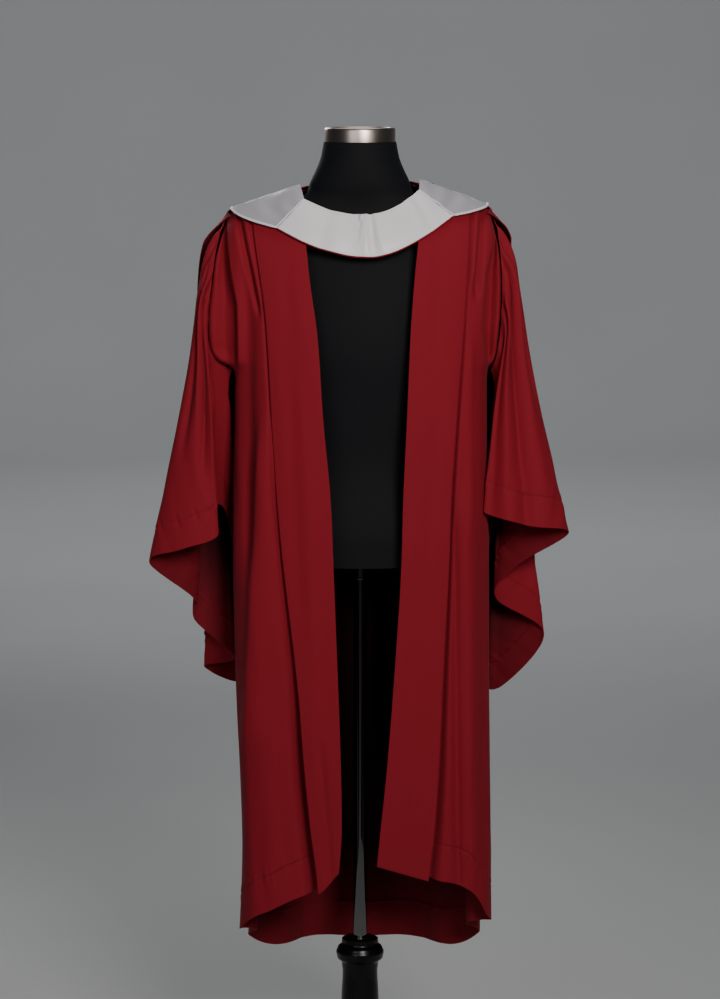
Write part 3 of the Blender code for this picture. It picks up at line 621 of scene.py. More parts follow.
def back_hem(across):
    """Hem height round the back: it drops from the side seams to its lowest line."""
    side = "left" if across < 0.5 else "right"
    from_side = min(across, 1.0 - across)
    seam = smooth_read(FRONT_HEM, smooth_read(BODY, SEAM_HEM_READ, side), side)
    fall = min(1.0, from_side / HEM_FALL)
    return mix(seam, BACK_HEM, fall * fall * (3.0 - 2.0 * fall))


def flute_depth(across, z):
    fall = max(0.0, min(1.0, (BACK_FLUTE_TOP - z) / (BACK_FLUTE_TOP - BACK_HEM)))
    fall *= min(1.0, min(across, 1.0 - across) / SEAM_EASE)
    total = 0.0
    for flute in FLUTES:
        away = (across - flute.place) / flute.width
        total += flute.depth * math.exp(-away * away)
    return total * fall


def armhole_point(side, around):
    """A point of the armhole's edge: 0 at the underarm, 0.25 in front, 0.5 at the shoulder, 0.75 behind."""
    around = around % 1.0
    rise = 1.0 - abs(2.0 * around - 1.0)
    z = mix(UNDERARM, SLEEVE_TOP[side], rise ** 0.9)
    depth = "front" if around < 0.5 else "back"
    out = smooth_read(ARMHOLE, z, side)
    return Vector((out, smooth_read(ARMHOLE, z, depth), z))


def sleeve_points(side, columns=132, rows=30):
    """A bell sleeve, ruled from the armhole to its hem along the sleeve's fold lines, once round."""
    folds = SLEEVE_LEFT if side == "left" else SLEEVE_RIGHT
    sign = -1.0 if side == "left" else 1.0
    grid = []
    for k in range(columns + 1):
        at = len(folds) * k / columns
        around = ring_read(folds, at, "around")
        head = armhole_point(side, around)
        head.x = sign * (head.x + SLEEVE_SEAT[side])
        hem = Vector([ring_read(folds, at, axis) for axis in "xyz"])
        top = math.sin(math.pi * (around % 1.0)) ** 2
        fore = -math.sin(2.0 * math.pi * around)
        line = []
        for j in range(rows + 1):
            down = (j / rows) ** 1.2
            near = down / HEAD_AT
            bulge = HEAD_BULGE * near * math.exp(1.0 - near)
            point = head.lerp(hem, down)
            point.x += sign * bulge * (0.35 + 0.65 * top)
            point.y += bulge * fore * 0.5
            line.append(tuple(point))
        grid.append(line)
    return np.array(grid)


def cape_point(across, drop):
    """The hood's outer surface, by place across (left 0, right 1) and drop from its top edge."""
    top = Vector([smooth_read(NECK_ROWS, across, axis) for axis in "xyz"])
    z = top.z - drop
    angle = math.pi * across
    side = "left" if across < 0.5 else "right"
    wide = smooth_read(CAPE, z, side)
    rear = smooth_read(CAPE, z, "edge")
    deep = smooth_read(CAPE, z, "depth") - rear
    edge = abs(2.0 * across - 1.0)
    turned = roll(drop, mix(ROLL, EDGE_ROLL, edge ** 4))
    x = mix(top.x, -wide * math.cos(angle), turned)
    y = mix(top.y, rear + deep * math.sin(angle) ** 0.9, turned)
    return Vector((x, y, z))


def cape_drop(across):
    """The hood's length below its top edge, with rounded lower corners."""
    top = smooth_read(NECK_ROWS, across, "z")
    edge = abs(2.0 * across - 1.0)
    return top - CAPE_HEM - CAPE_CORNER * edge ** 5


def cape_points(columns=80, rolls=8, rows=22):
    grid = []
    for k in range(columns + 1):
        across = k / columns
        length = cape_drop(across)
        drops = [ROLL * (1.0 - math.cos(0.5 * math.pi * j / rolls)) for j in range(rolls + 1)]
        drops += [mix(ROLL, length, j / rows) for j in range(1, rows + 1)]
        grid.append([tuple(cape_point(across, drop)) for drop in drops])
    return np.array(grid)


def neckband_points(columns=48, rows=10, lift=BAND_LIFT, longer=0.0):
    """The satin band, lying off the gown's front surface from mitre to mitre."""
    grid = []
    last = len(NECKBAND) - 1
    for k in range(columns + 1):
        at = mix(MITRE_GAP, last - MITRE_GAP, k / columns)
        line = []
        for j in range(rows + 1):
            down = mix(0.0, 1.0 + longer, j / rows)
            x = mix(smooth_read(NECKBAND, at, "top_x"), smooth_read(NECKBAND, at, "low_x"), down)
            z = mix(smooth_read(NECKBAND, at, "top_z"), smooth_read(NECKBAND, at, "low_z"), down)
            line.append((x, front_y(x, z) - lift, z + BAND_RAISE))
        grid.append(line)
    return np.array(grid)


def satin_points(side, columns=14, fore_rows=12, back_rows=34):
    """The satin from the mitre, over the shoulder and down the back to the middle."""
    sign = -1.0 if side == "left" else 1.0
    mitre = NECKBAND[0] if side == "left" else NECKBAND[-1]
    grid = []
    for k in range(columns + 1):
        across = k / columns
        line = []
        for j in range(fore_rows):
            forward = (1.0 - j / fore_rows) ** 1.5
            inner_x = mix(SATIN_TOP_INNER, abs(mitre.top_x), forward)
            outer_x = mix(SATIN_TOP_OUTER, abs(mitre.low_x), forward ** 1.6)
            x = sign * mix(inner_x, outer_x, across)
            inner_z = mix(ridge_z(sign * SATIN_TOP_INNER), mitre.top_z, forward)
            outer_z = mix(ridge_z(sign * SATIN_TOP_OUTER), mitre.low_z, forward ** 0.8)
            z = mix(inner_z, outer_z, across)
            y = front_y(x, z) - mix(SATIN_TOP_LIFT, BAND_LIFT, forward)
            line.append((x, y, z + mix(SATIN_LIFT, BAND_RAISE, forward)))
        for j in range(back_rows + 1):
            at = (len(SATIN_BACK) - 1) * (j / back_rows) ** 1.4
            place = mix(smooth_read(SATIN_BACK, at, "inner"), smooth_read(SATIN_BACK, at, "outer"), across)
            fall = mix(smooth_read(SATIN_BACK, at, "inner_drop"), smooth_read(SATIN_BACK, at, "outer_drop"), across)
            across_cape = place if side == "left" else 1.0 - place
            line.append(tuple(off_cape(across_cape, fall, SATIN_LIFT - CAPE_LIFT)))
        grid.append(line)
    grid = np.array(grid)
    away = np.linalg.norm(grid - grid[-1, fore_rows], axis=2)
    grid[..., 0] -= sign * CORNER_ROUND * np.exp(-(away / 0.020) ** 2)
    grid[..., 2] -= CORNER_DROP * np.exp(-(away / 0.014) ** 2)
    return grid


def off_cape(across, drop, lift):
    """A point of the hood's surface moved out along its normal."""
    step = 0.004
    here = cape_point(across, drop)
    along = cape_point(across + step, drop) - cape_point(across - step, drop)
    down = cape_point(across, drop + step) - cape_point(across, max(0.0, drop - step))
    return here + along.cross(down).normalized() * lift


def spread(points, places):
    """Rows of points at places along the first axis, on a smooth curve through the given ones."""
    last = len(points) - 1
    k = np.clip(np.floor(places).astype(int), 0, last - 1)
    t = (places - k)[:, None, None]
    a, b, c, d = (points[np.clip(k + step, 0, last)] for step in (-1, 0, 1, 2))
    bend = (2.0 * a - 5.0 * b + 4.0 * c - d) * t * t + (3.0 * b - a - 3.0 * c + d) * t ** 3
    return b + 0.5 * ((c - a) * t + bend)


def refine(points, columns, rows, hem_rows=0.0):
    """A fine grid on the smooth surface through a coarse one, with close rows about the hem's stitching."""
    wide = spread(points, np.linspace(0.0, len(points) - 1.0, columns))
    last = points.shape[1] - 1.0
    places = np.linspace(0.0, last, rows)
    if hem_rows:
        low, high = last - 1.35 * hem_rows, last - 0.65 * hem_rows
        places = np.concatenate([
            np.linspace(0.0, low, int(0.72 * rows), endpoint=False),
            np.linspace(low, high, int(0.18 * rows), endpoint=False),
            np.linspace(high, last, rows - int(0.72 * rows) - int(0.18 * rows)),
        ])
    return spread(wide.transpose(1, 0, 2), places).transpose(1, 0, 2)


def facing(grid, flip):
    """Unit normals of a grid, on its outer side."""
    along = np.gradient(grid, axis=0)
    down = np.gradient(grid, axis=1)
    normal = np.cross(down, along) if flip else np.cross(along, down)
    return normal / np.maximum(np.linalg.norm(normal, axis=2, keepdims=True), 1e-9)


def lengths_down(grid):
    """Distance of each point from its column's first, along the cloth."""
    steps = np.linalg.norm(np.diff(grid, axis=1), axis=2)
    return np.concatenate([np.zeros((len(grid), 1)), np.cumsum(steps, axis=1)], axis=1)


def lengths_across(grid):
    steps = np.linalg.norm(np.diff(grid, axis=0), axis=2)
    return np.concatenate([np.zeros((1, grid.shape[1])), np.cumsum(steps, axis=0)], axis=0)


def shell(name, grid, flip, finish, thick=CLOTH, thin=None, inside=None, from_hem=None):
    """A closed thin shell with rounded edges: the grid is its outer face, and the thickness goes inward."""
    columns, rows = grid.shape[:2]
    normal = facing(grid, flip)
    depth = np.full((columns, rows, 1), thick) if thin is None else thin[:, :, None]
    outer = grid.reshape(-1, 3)
    inner = (grid - normal * depth).reshape(-1, 3)
    index = np.arange(columns * rows).reshape(columns, rows)
    quads = np.stack([index[:-1, :-1], index[:-1, 1:], index[1:, 1:], index[1:, :-1]], axis=2).reshape(-1, 4)
    if flip:
        quads = quads[:, ::-1]
    loop = np.concatenate([index[0, :-1], index[:-1, -1], index[-1, :0:-1], index[:0:-1, 0]])
    away = rim_directions(grid).reshape(-1, 3)[loop]
    middle = 0.5 * (outer[loop] + inner[loop])
    half = 0.5 * (outer[loop] - inner[loop])
    size = np.linalg.norm(half, axis=1, keepdims=True)
    rims = []
    for turn in (0.25 * math.pi, 0.5 * math.pi, 0.75 * math.pi):
        rims.append(middle + half * math.cos(turn) + away * size * math.sin(turn))
    total = columns * rows
    count = len(loop)
    vertices = np.concatenate([outer, inner, *rims]) + POLE
    rings = [loop, *(2 * total + count * k + np.arange(count) for k in range(3)), loop + total]
    faces = [quads[:, ::-1], quads + total]
    for here, there in zip(rings, rings[1:]):
        side = np.stack([here, np.roll(here, -1), np.roll(there, -1), there], axis=1)
        faces.append(side if not flip else side[:, ::-1])
    flat = np.stack([lengths_across(grid), lengths_down(grid)], axis=2).reshape(-1, 2)
    uv = np.concatenate([flat, flat, *([flat[loop]] * 3)])
    piece = mesh_piece(name, vertices, np.concatenate(faces), uv, finish)
    # Inner faces take the inside finish, the cloth darkened as painted shade
    if inside is not None:
        piece.data.materials.append(inside)
        which = np.zeros(len(piece.data.polygons), dtype=np.int32)
        which[len(quads):2 * len(quads)] = 1
        piece.data.polygons.foreach_set("material_index", which)
    # The from_hem attribute sets the painted hollow shade of the inside finish
    if from_hem is not None:
        above = from_hem.reshape(-1)
        layer = piece.data.attributes.new("from_hem", "FLOAT", "POINT")
        layer.data.foreach_set("value", np.concatenate([above, above, *([above[loop]] * 3)]).astype(np.float32))
    return piece


def rim_directions(grid):
    """At each edge point of a grid, the direction that leaves the cloth in its own surface."""
    away = np.zeros_like(grid)
    away[0] += unit(grid[0] - grid[1])
    away[-1] += unit(grid[-1] - grid[-2])
    away[:, 0] += unit(grid[:, 0] - grid[:, 1])
    away[:, -1] += unit(grid[:, -1] - grid[:, -2])
    return unit(away)


def unit(vectors):
    return vectors / np.maximum(np.linalg.norm(vectors, axis=-1, keepdims=True), 1e-9)


def mesh_piece(name, vertices, faces, uv, finish):
    """A smooth mesh object from arrays of vertices, quads and flat places."""
    mesh = bpy.data.meshes.new(name)
    mesh.vertices.add(len(vertices))
    mesh.vertices.foreach_set("co", vertices.astype(np.float32).ravel())
    mesh.loops.add(faces.size)
    mesh.loops.foreach_set("vertex_index", faces.astype(np.int32).ravel())
    mesh.polygons.add(len(faces))
    mesh.polygons.foreach_set("loop_start", np.arange(0, faces.size, 4, dtype=np.int32))
    mesh.update(calc_edges=True)
    layer = mesh.uv_layers.new(name="Cloth")
    layer.data.foreach_set("uv", uv[faces.ravel()].astype(np.float32).ravel())
    mesh.validate()
    mesh.shade_smooth()
    mesh.materials.append(finish)
    piece = bpy.data.objects.new(name, mesh)
    bpy.context.scene.collection.objects.link(piece)
    return piece


def crease_depth(x, z, creases):
    """The depth of a front's creases at distances from the middle and heights."""
    total = np.zeros_like(x)
    for crease in creases:
        share = (crease.top_z - z) / (crease.top_z - crease.low_z)
        line = mix(crease.top_x, crease.low_x, share)
        away = x - line
        width = np.where(away > 0.0, crease.outside, crease.inside)
        ends = ease((crease.top_z + crease.fade - z) / crease.fade) * ease((z - crease.low_z + crease.fade) / crease.fade)
        total += crease.depth * np.exp(-(away / width) ** 2) * ends
    return total


def pleat_trough(side, x, z):
    """How deep the cloth beside a front strip falls back along the pleat."""
    heights_up = [row.z for row in PLEAT_TROUGH]
    fall = np.interp(z, heights_up, [getattr(row, side) for row in PLEAT_TROUGH])
    width = np.interp(z, heights_up, [getattr(row, f"{side}_width") for row in PLEAT_TROUGH])
    pleat = np.interp(z, [row.z for row in FRONT_PLEAT], [getattr(row, side) for row in FRONT_PLEAT])
    past = np.maximum(x - pleat, 0.0)
    return fall * np.exp(-(past / width) ** 2)


def hem_line(from_hem, deep, along, seed):
    """The groove of a hem's stitching and the soft puckers beside it, by distance above the hem's edge."""
    rng = np.random.default_rng(seed)
    groove = -0.0013 * np.exp(-((from_hem - deep) / 0.0016) ** 2)
    wave = np.zeros_like(along)
    for pitch in (0.011, 0.017, 0.029):
        phase = rng.uniform(0.0, 2.0 * math.pi)
        wave += np.sin(2.0 * math.pi * along / pitch + phase)
    near = np.exp(-((from_hem - deep) / 0.013) ** 2)
    return groove + 0.00045 * wave * near


def slack(along, down, seed, size=0.0006):
    """Slow uneven waves that keep hanging cloth from looking drawn with a ruler."""
    rng = np.random.default_rng(seed)
    total = np.zeros_like(along)
    for pitch_across, pitch_down in ((0.045, 0.52), (0.028, 0.34), (0.071, 0.23)):
        phase = rng.uniform(0.0, 2.0 * math.pi, 2)
        total += np.sin(2.0 * math.pi * along / pitch_across + phase[0] + 1.3 * np.sin(2.0 * math.pi * down / pitch_down + phase[1]))
    return size * total / 3.0


def hem_thickness(from_hem, deep):
    """Cloth is single above the hem's stitching and double below it."""
    return mix(SINGLE, CLOTH, 1.0 - ease((from_hem - deep) / 0.003))


def stitches(name, grid, normal, from_hem, deep, pitch, finish, lift=0.0001):
    """Short thread stitches along the line a given way above the hem."""
    rows = grid.shape[1]
    line = []
    for k in range(len(grid)):
        order = from_hem[k, ::-1]
        at = np.interp(deep, order, np.arange(rows)[::-1])
        low = int(math.floor(at))
        high = min(rows - 1, low + 1)
        t = at - low
        line.append(mix(grid[k, low], grid[k, high], t) + lift * mix(normal[k, low], normal[k, high], t))
    return thread(name, np.array(line), np.array([normal[k, rows // 2] for k in range(len(grid))]), pitch, finish)


def thread(name, line, out, pitch, finish, width=0.00035, share=0.62):
    """Stitches of a seam along a line of points: a flattened bead for each."""
    steps = np.linalg.norm(np.diff(line, axis=0), axis=1)
    reach = np.concatenate([[0.0], np.cumsum(steps)])
    count = int(reach[-1] / pitch)
    vertices, faces = [], []
    for k in range(count):
        ends = [(k + 0.5 * (1.0 - share)) * pitch, (k + 0.5 * (1.0 + share)) * pitch]
        a, b = (np.array([np.interp(end, reach, line[:, axis]) for axis in range(3)]) for end in ends)
        up = np.array([np.interp(ends[0], reach, out[:, axis]) for axis in range(3)])
        along = unit(b - a)
        across = unit(np.cross(along, up))
        up = np.cross(across, along)
        first = len(vertices)
        for point, size in ((a, 0.45), (mix(a, b, 0.25), 1.0), (mix(a, b, 0.75), 1.0), (b, 0.45)):
            for turn in range(6):
                angle = math.pi * turn / 3.0
                vertices.append(point + width * size * (across * math.cos(angle) + up * math.sin(angle)))
        for ring in range(3):
            for turn in range(6):
                here = first + 6 * ring + turn
                there = first + 6 * ring + (turn + 1) % 6
                faces.append((here, there, there + 6, here + 6))
        faces.append((first + 3, first + 2, first + 1, first))
        faces.append((first, first + 5, first + 4, first + 3))
        last = first + 18
        faces.append((last, last + 1, last + 2, last + 3))
        faces.append((last + 3, last + 4, last + 5, last))
    vertices = np.array(vertices) + POLE
    return mesh_piece(name, vertices, np.array(faces), np.zeros((len(vertices), 2)), finish)


def tube(name, line, radius, finish, sides=8):
    """A round cord along a line of points, closed at both ends."""
    along = unit(np.gradient(line, axis=0))
    guide = np.array([0.0, 0.0, 1.0])
    across = unit(np.cross(along, guide))
    up = np.cross(across, along)
    rings = []
    taper = np.ones(len(line))
    taper[0] = taper[-1] = 0.35
    for turn in range(sides):
        angle = 2.0 * math.pi * turn / sides
        rings.append(line + radius * taper[:, None] * (across * math.cos(angle) + up * math.sin(angle)))
    vertices = np.stack(rings, axis=1).reshape(-1, 3)
    faces = []
    for k in range(len(line) - 1):
        for turn in range(sides):
            a, b = k * sides + turn, k * sides + (turn + 1) % sides
            faces.append((a, b, b + sides, a + sides))
    for first, order in ((0, 1), ((len(line) - 1) * sides, -1)):
        for turn in range(1, sides - 1, 2):
            face = (first, first + turn + 1 + 1 if turn + 2 < sides else first, first + turn + 1, first + turn)
            if turn + 2 < sides:
                faces.append(face[::order])
    uv = np.zeros((len(vertices), 2))
    return mesh_piece(name, vertices + POLE, np.array(faces), uv, finish)


def nodes_of(made):
    made.use_nodes = True
    tree = made.node_tree
    return tree, tree.nodes["Principled BSDF"]


def add(tree, kind, **settings):
    """A shader node with its sockets set by name."""
    node = tree.nodes.new(kind)
    for name, value in settings.items():
        socket = node.inputs.get(name.replace("_", " "))
        if socket is None:
            setattr(node, name, value)
        else:
            socket.default_value = value
    return node


def two_tones(tree, factor, dark, light):
    ramp = tree.nodes.new("ShaderNodeMix")
    ramp.data_type = "RGBA"
    ramp.inputs[6].default_value = (*dark, 1.0)
    ramp.inputs[7].default_value = (*light, 1.0)
    tree.links.new(factor, ramp.inputs[0])
    return ramp.outputs[2]


def shade(colour, factor):
    return tuple(factor * value for value in colour)


def crimson_finish(name, tint, paints_hollow_shade=False):
    """A fine matt twill: diagonal ribs under a millimetre apart, a soft nap and slow tonal change. A tint below 1
    makes a darker copy as painted shade, and with the hollow-shade switch on it darkens further by the from_hem
    attribute, as painted hollow shade.
    """
    made = bpy.data.materials.new(name)
    tree, shader = nodes_of(made)
    place = add(tree, "ShaderNodeUVMap", uv_map="Cloth")
    tilt = add(tree, "ShaderNodeMapping")
    tilt.inputs["Rotation"].default_value = (0.0, 0.0, math.radians(58.0))
    tree.links.new(place.outputs["UV"], tilt.inputs["Vector"])
    ribs = add(tree, "ShaderNodeTexWave", Scale=330.0, Distortion=1.2, Detail=2.0)
    tree.links.new(tilt.outputs["Vector"], ribs.inputs["Vector"])
    where = tree.nodes.new("ShaderNodeTexCoord")
    nap = add(tree, "ShaderNodeTexNoise", Scale=900.0, Detail=3.0)
    tone = add(tree, "ShaderNodeTexNoise", Scale=5.0, Detail=4.0)
    tree.links.new(where.outputs["Object"], nap.inputs["Vector"])
    tree.links.new(where.outputs["Object"], tone.inputs["Vector"])
    blend = add(tree, "ShaderNodeMath", operation="ADD")
    half = add(tree, "ShaderNodeMath", operation="MULTIPLY")
    half.inputs[1].default_value = 0.5
    tree.links.new(tone.outputs["Fac"], blend.inputs[0])
    tree.links.new(nap.outputs["Fac"], blend.inputs[1])
    tree.links.new(blend.outputs[0], half.inputs[0])
    tones = two_tones(tree, half.outputs[0], shade(CRIMSON_LOW, tint), shade(CRIMSON, tint))
    # Painted hollow shade: the cloth darkens with distance above the hem, deep inside the sleeves and back
    if paints_hollow_shade:
        above = add(tree, "ShaderNodeAttribute", attribute_name="from_hem")
        light = add(tree, "ShaderNodeMapRange", From_Min=HOLLOW_SHADE_FROM, From_Max=HOLLOW_SHADE_TO, To_Min=1.0, To_Max=0.0)
        tree.links.new(above.outputs["Fac"], light.inputs["Value"])
        deep = tree.nodes.new("ShaderNodeMix")
        deep.data_type = "RGBA"
        deep.inputs[6].default_value = (*shade(CRIMSON_LOW, HOLLOW_PAINTED_SHADE), 1.0)
        tree.links.new(tones, deep.inputs[7])
        tree.links.new(light.outputs["Result"], deep.inputs[0])
        tones = deep.outputs[2]
    tree.links.new(tones, shader.inputs["Base Color"])
    both = add(tree, "ShaderNodeMath", operation="ADD")
    tree.links.new(ribs.outputs["Fac"], both.inputs[0])
    tree.links.new(nap.outputs["Fac"], both.inputs[1])
    bump = add(tree, "ShaderNodeBump", Strength=0.28, Distance=0.0002)
    tree.links.new(both.outputs[0], bump.inputs["Height"])
    tree.links.new(bump.outputs["Normal"], shader.inputs["Normal"])
    shader.inputs["Roughness"].default_value = 0.82
    shader.inputs["Specular IOR Level"].default_value = 0.22
    shader.inputs["Sheen Weight"].default_value = 0.10 * tint
    shader.inputs["Sheen Roughness"].default_value = 0.45
    shader.inputs["Sheen Tint"].default_value = (0.75, 0.16, 0.18, 1.0)
    return made


def thread_finish(name, colour):
    made = bpy.data.materials.new(name)
    tree, shader = nodes_of(made)
    where = tree.nodes.new("ShaderNodeTexCoord")
    ply = add(tree, "ShaderNodeTexNoise", Scale=1800.0, Detail=2.0)
    tree.links.new(where.outputs["Object"], ply.inputs["Vector"])
    tree.links.new(two_tones(tree, ply.outputs["Fac"], shade(colour, 0.6), colour), shader.inputs["Base Color"])
    shader.inputs["Roughness"].default_value = 0.7
    return made


def satin_finish(name, colour, roughness):
    """Silver satin: smooth floats of thread, a soft directional shine and a trace of unevenness."""
    made = bpy.data.materials.new(name)
    tree, shader = nodes_of(made)
    place = add(tree, "ShaderNodeUVMap", uv_map="Cloth")
    stretch = add(tree, "ShaderNodeMapping")
    stretch.inputs["Scale"].default_value = (1.0, 0.12, 1.0)
    tree.links.new(place.outputs["UV"], stretch.inputs["Vector"])
    floats = add(tree, "ShaderNodeTexNoise", Scale=1500.0, Detail=2.0)
    tree.links.new(stretch.outputs["Vector"], floats.inputs["Vector"])
    where = tree.nodes.new("ShaderNodeTexCoord")
    cloud = add(tree, "ShaderNodeTexNoise", Scale=38.0, Detail=3.0)
    tree.links.new(where.outputs["Object"], cloud.inputs["Vector"])
    tree.links.new(two_tones(tree, cloud.outputs["Fac"], shade(colour, 0.93), shade(colour, 1.04)), shader.inputs["Base Color"])
    bump = add(tree, "ShaderNodeBump", Strength=0.10, Distance=0.0001)
    ripple = add(tree, "ShaderNodeBump", Strength=0.30, Distance=0.0012)
    tree.links.new(floats.outputs["Fac"], bump.inputs["Height"])
    tree.links.new(cloud.outputs["Fac"], ripple.inputs["Height"])
    tree.links.new(bump.outputs["Normal"], ripple.inputs["Normal"])
    tree.links.new(ripple.outputs["Normal"], shader.inputs["Normal"])
    shader.inputs["Roughness"].default_value = roughness
    shader.inputs["Specular IOR Level"].default_value = 0.55
    shader.inputs["Sheen Weight"].default_value = 0.12
    return made


def jersey_finish():
    """The form's black stretch cover: a fine knit with a faint bloom."""
    made = bpy.data.materials.new("form_jersey_knit")
    tree, shader = nodes_of(made)
    where = tree.nodes.new("ShaderNodeTexCoord")
    knit = add(tree, "ShaderNodeTexNoise", Scale=1100.0, Detail=2.0)
    tone = add(tree, "ShaderNodeTexNoise", Scale=7.0, Detail=3.0)
    tree.links.new(where.outputs["Object"], knit.inputs["Vector"])
    tree.links.new(where.outputs["Object"], tone.inputs["Vector"])
    tree.links.new(two_tones(tree, tone.outputs["Fac"], shade(FORM_BLACK, 0.7), shade(FORM_BLACK, 1.3)), shader.inputs["Base Color"])
    bump = add(tree, "ShaderNodeBump", Strength=0.25, Distance=0.0002)
    tree.links.new(knit.outputs["Fac"], bump.inputs["Height"])
    tree.links.new(bump.outputs["Normal"], shader.inputs["Normal"])
    shader.inputs["Roughness"].default_value = 0.78
    shader.inputs["Specular IOR Level"].default_value = 0.25
    shader.inputs["Sheen Weight"].default_value = 0.02
    shader.inputs["Sheen Roughness"].default_value = 0.5
    shader.inputs["Sheen Tint"].default_value = (0.45, 0.55, 0.75, 1.0)
    return made


def hard_finish(name, colour, roughness, metallic, scale, wear):
    """A hard finish whose gloss is broken a little by handling marks."""
    made = bpy.data.materials.new(name)
    tree, shader = nodes_of(made)
    where = tree.nodes.new("ShaderNodeTexCoord")
    marks = add(tree, "ShaderNodeTexNoise", Scale=scale, Detail=5.0)
    tree.links.new(where.outputs["Object"], marks.inputs["Vector"])
    range_of = add(tree, "ShaderNodeMapRange", To_Min=roughness, To_Max=roughness + wear)
    tree.links.new(marks.outputs["Fac"], range_of.inputs["Value"])
    tree.links.new(range_of.outputs["Result"], shader.inputs["Roughness"])
    tree.links.new(two_tones(tree, marks.outputs["Fac"], shade(colour, 0.88), colour), shader.inputs["Base Color"])
    shader.inputs["Metallic"].default_value = metallic
    shader.inputs["Specular IOR Level"].default_value = 0.3
    return made


def turned_shape(name, profile, finish, sides=64):
    """A closed turned solid about the pole's axis, from (height, radius) pairs."""
    rings = []
    for z, radius in profile:
        angles = 2.0 * math.pi * np.arange(sides) / sides
        rings.append(np.stack([radius * np.cos(angles), radius * np.sin(angles), np.full(sides, z)], axis=1))
    return lofted(name, rings, finish)


def lofted(name, rings, finish):
    """A closed solid through rings of points, with a fan of quads over each end."""
    sides = len(rings[0])
    ends = [rings[0].mean(axis=0) + (rings[0] - rings[0].mean(axis=0)) * 0.02]
    tops = [rings[-1].mean(axis=0) + (rings[-1] - rings[-1].mean(axis=0)) * 0.02]
    rings = ends + list(rings) + tops
    vertices = np.concatenate(rings) + POLE
    index = np.arange(sides)
    faces = []
    for k in range(len(rings) - 1):
        low = k * sides
        faces.append(np.stack([low + index, low + np.roll(index, -1), low + sides + np.roll(index, -1), low + sides + index], axis=1))
    faces = np.concatenate(faces)
    rising = rings[-1][:, 2].mean() > rings[0][:, 2].mean()
    if not rising:
        faces = faces[:, ::-1]
    mesh = bpy.data.meshes.new(name)
    ngons = [tuple(int(v) for v in face) for face in faces]
    bottom = tuple(int(v) for v in index)
    top = tuple(int(v) for v in index + (len(rings) - 1) * sides)
    ngons.append(bottom[::-1] if rising else bottom)
    ngons.append(top if rising else top[::-1])
    mesh.from_pydata([tuple(v) for v in vertices], [], ngons)
    mesh.validate()
    mesh.shade_smooth()
    mesh.set_sharp_from_angle(angle=math.radians(35))
    mesh.materials.append(finish)
    piece = bpy.data.objects.new(name, mesh)
    bpy.context.scene.collection.objects.link(piece)
    return piece


def dressed(piece, slot, *nodes):
    """The piece rides the part's one body and stands for its CAD nodes; its slot argument is not used."""
    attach(piece, "root")
    if nodes:
        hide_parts(*nodes)
    return piece


def front_pieces(side, finish, inside, sewing):
    """The smooth strip and the folded outer part of one front."""
    flip = side == "right"
    seed = 11 if flip else 21
    grid = refine(band_points(side), 34, 220)
    down = lengths_down(grid)
    across = lengths_across(grid)
    depth = crease_depth(np.abs(grid[..., 0]), grid[..., 2], BAND_CREASES[side])
    depth += slack(across, down, seed, 0.00035)
    grid = grid + facing(grid, flip) * depth[..., None]
    # Inner faces take the inside finish, darkened as painted shade
    band = shell(f"front_band_{side}", grid, flip, finish, inside=inside)
    dressed(band, "crimson_cloth", f"front_band_{side}")

    grid = refine(side_points(side), 80, 260, 1.7)
    normal = facing(grid, flip)
    down = lengths_down(grid)
    across = lengths_across(grid)
    from_hem = down[:, -1:] - down
    x, z = np.abs(grid[..., 0]), grid[..., 2]
    toward_front = np.clip(-normal[..., 1], 0.0, 1.0)
    depth = crease_depth(x, z, SIDE_CREASES[side]) * ease(toward_front / 0.5)
    depth += slack(across, down, seed + 1)
    depth += hem_line(from_hem, HEM_DEEP, across, seed + 2)
    grid = grid + normal * depth[..., None]
    grid[..., 1] += arm_fold(side, x, z) + pleat_trough(side, x, z)
    thin = hem_thickness(from_hem, HEM_DEEP)
    side_piece = shell(f"front_side_{side}", grid, flip, finish, thin=thin, inside=inside)
    dressed(side_piece, "crimson_cloth", f"front_side_{side}")
    seam = stitches(f"front_hem_stitches_{side}", grid, facing(grid, flip), from_hem, HEM_DEEP, 0.0042, sewing)
    dressed(seam, "crimson_cloth")
    return band, side_piece


def arm_fold(side, x, z):
    """How far the cloth outside the crisp fold falls back, easing to nothing at the armhole."""
    fold = np.interp(z, [row.z for row in ARM_FOLD], [getattr(row, side) for row in ARM_FOLD])
    hole = np.interp(z, [row.z for row in ARMHOLE], [getattr(row, side) for row in ARMHOLE])
    past = x - fold
    reach = np.maximum(hole - fold, 0.004)
    fall = ease(past / 0.0045) * (1.0 - ease((past - 0.35 * reach) / (0.65 * reach)))
    return ARM_FOLD_DEPTH * fall * ease((z - 1.205) / 0.045) * ease((1.468 - z) / 0.05)


def back_piece(finish, inside, sewing):
    grid = refine(back_points(), 156, 220, 1.6)
    normal = facing(grid, False)
    down = lengths_down(grid)
    across = lengths_across(grid)
    from_hem = down[:, -1:] - down
    depth = slack(across, down, 21, 0.0009) + hem_line(from_hem, HEM_DEEP, across, 22)
    middle = np.abs(np.arange(len(grid)) / (len(grid) - 1.0) - 0.5)[:, None]
    depth -= 0.0009 * np.exp(-(middle / 0.004) ** 2)
    grid = grid + normal * depth[..., None]
    # Its inner face takes painted shade, darker further above the hem
    back = shell("back", grid, False, finish, CLOTH, hem_thickness(from_hem, HEM_DEEP), inside, from_hem)
    dressed(back, "crimson_cloth", "back")
    seam = stitches("back_hem_stitches", grid, facing(grid, False), from_hem, HEM_DEEP, 0.0045, sewing)
    dressed(seam, "crimson_cloth")
    return back


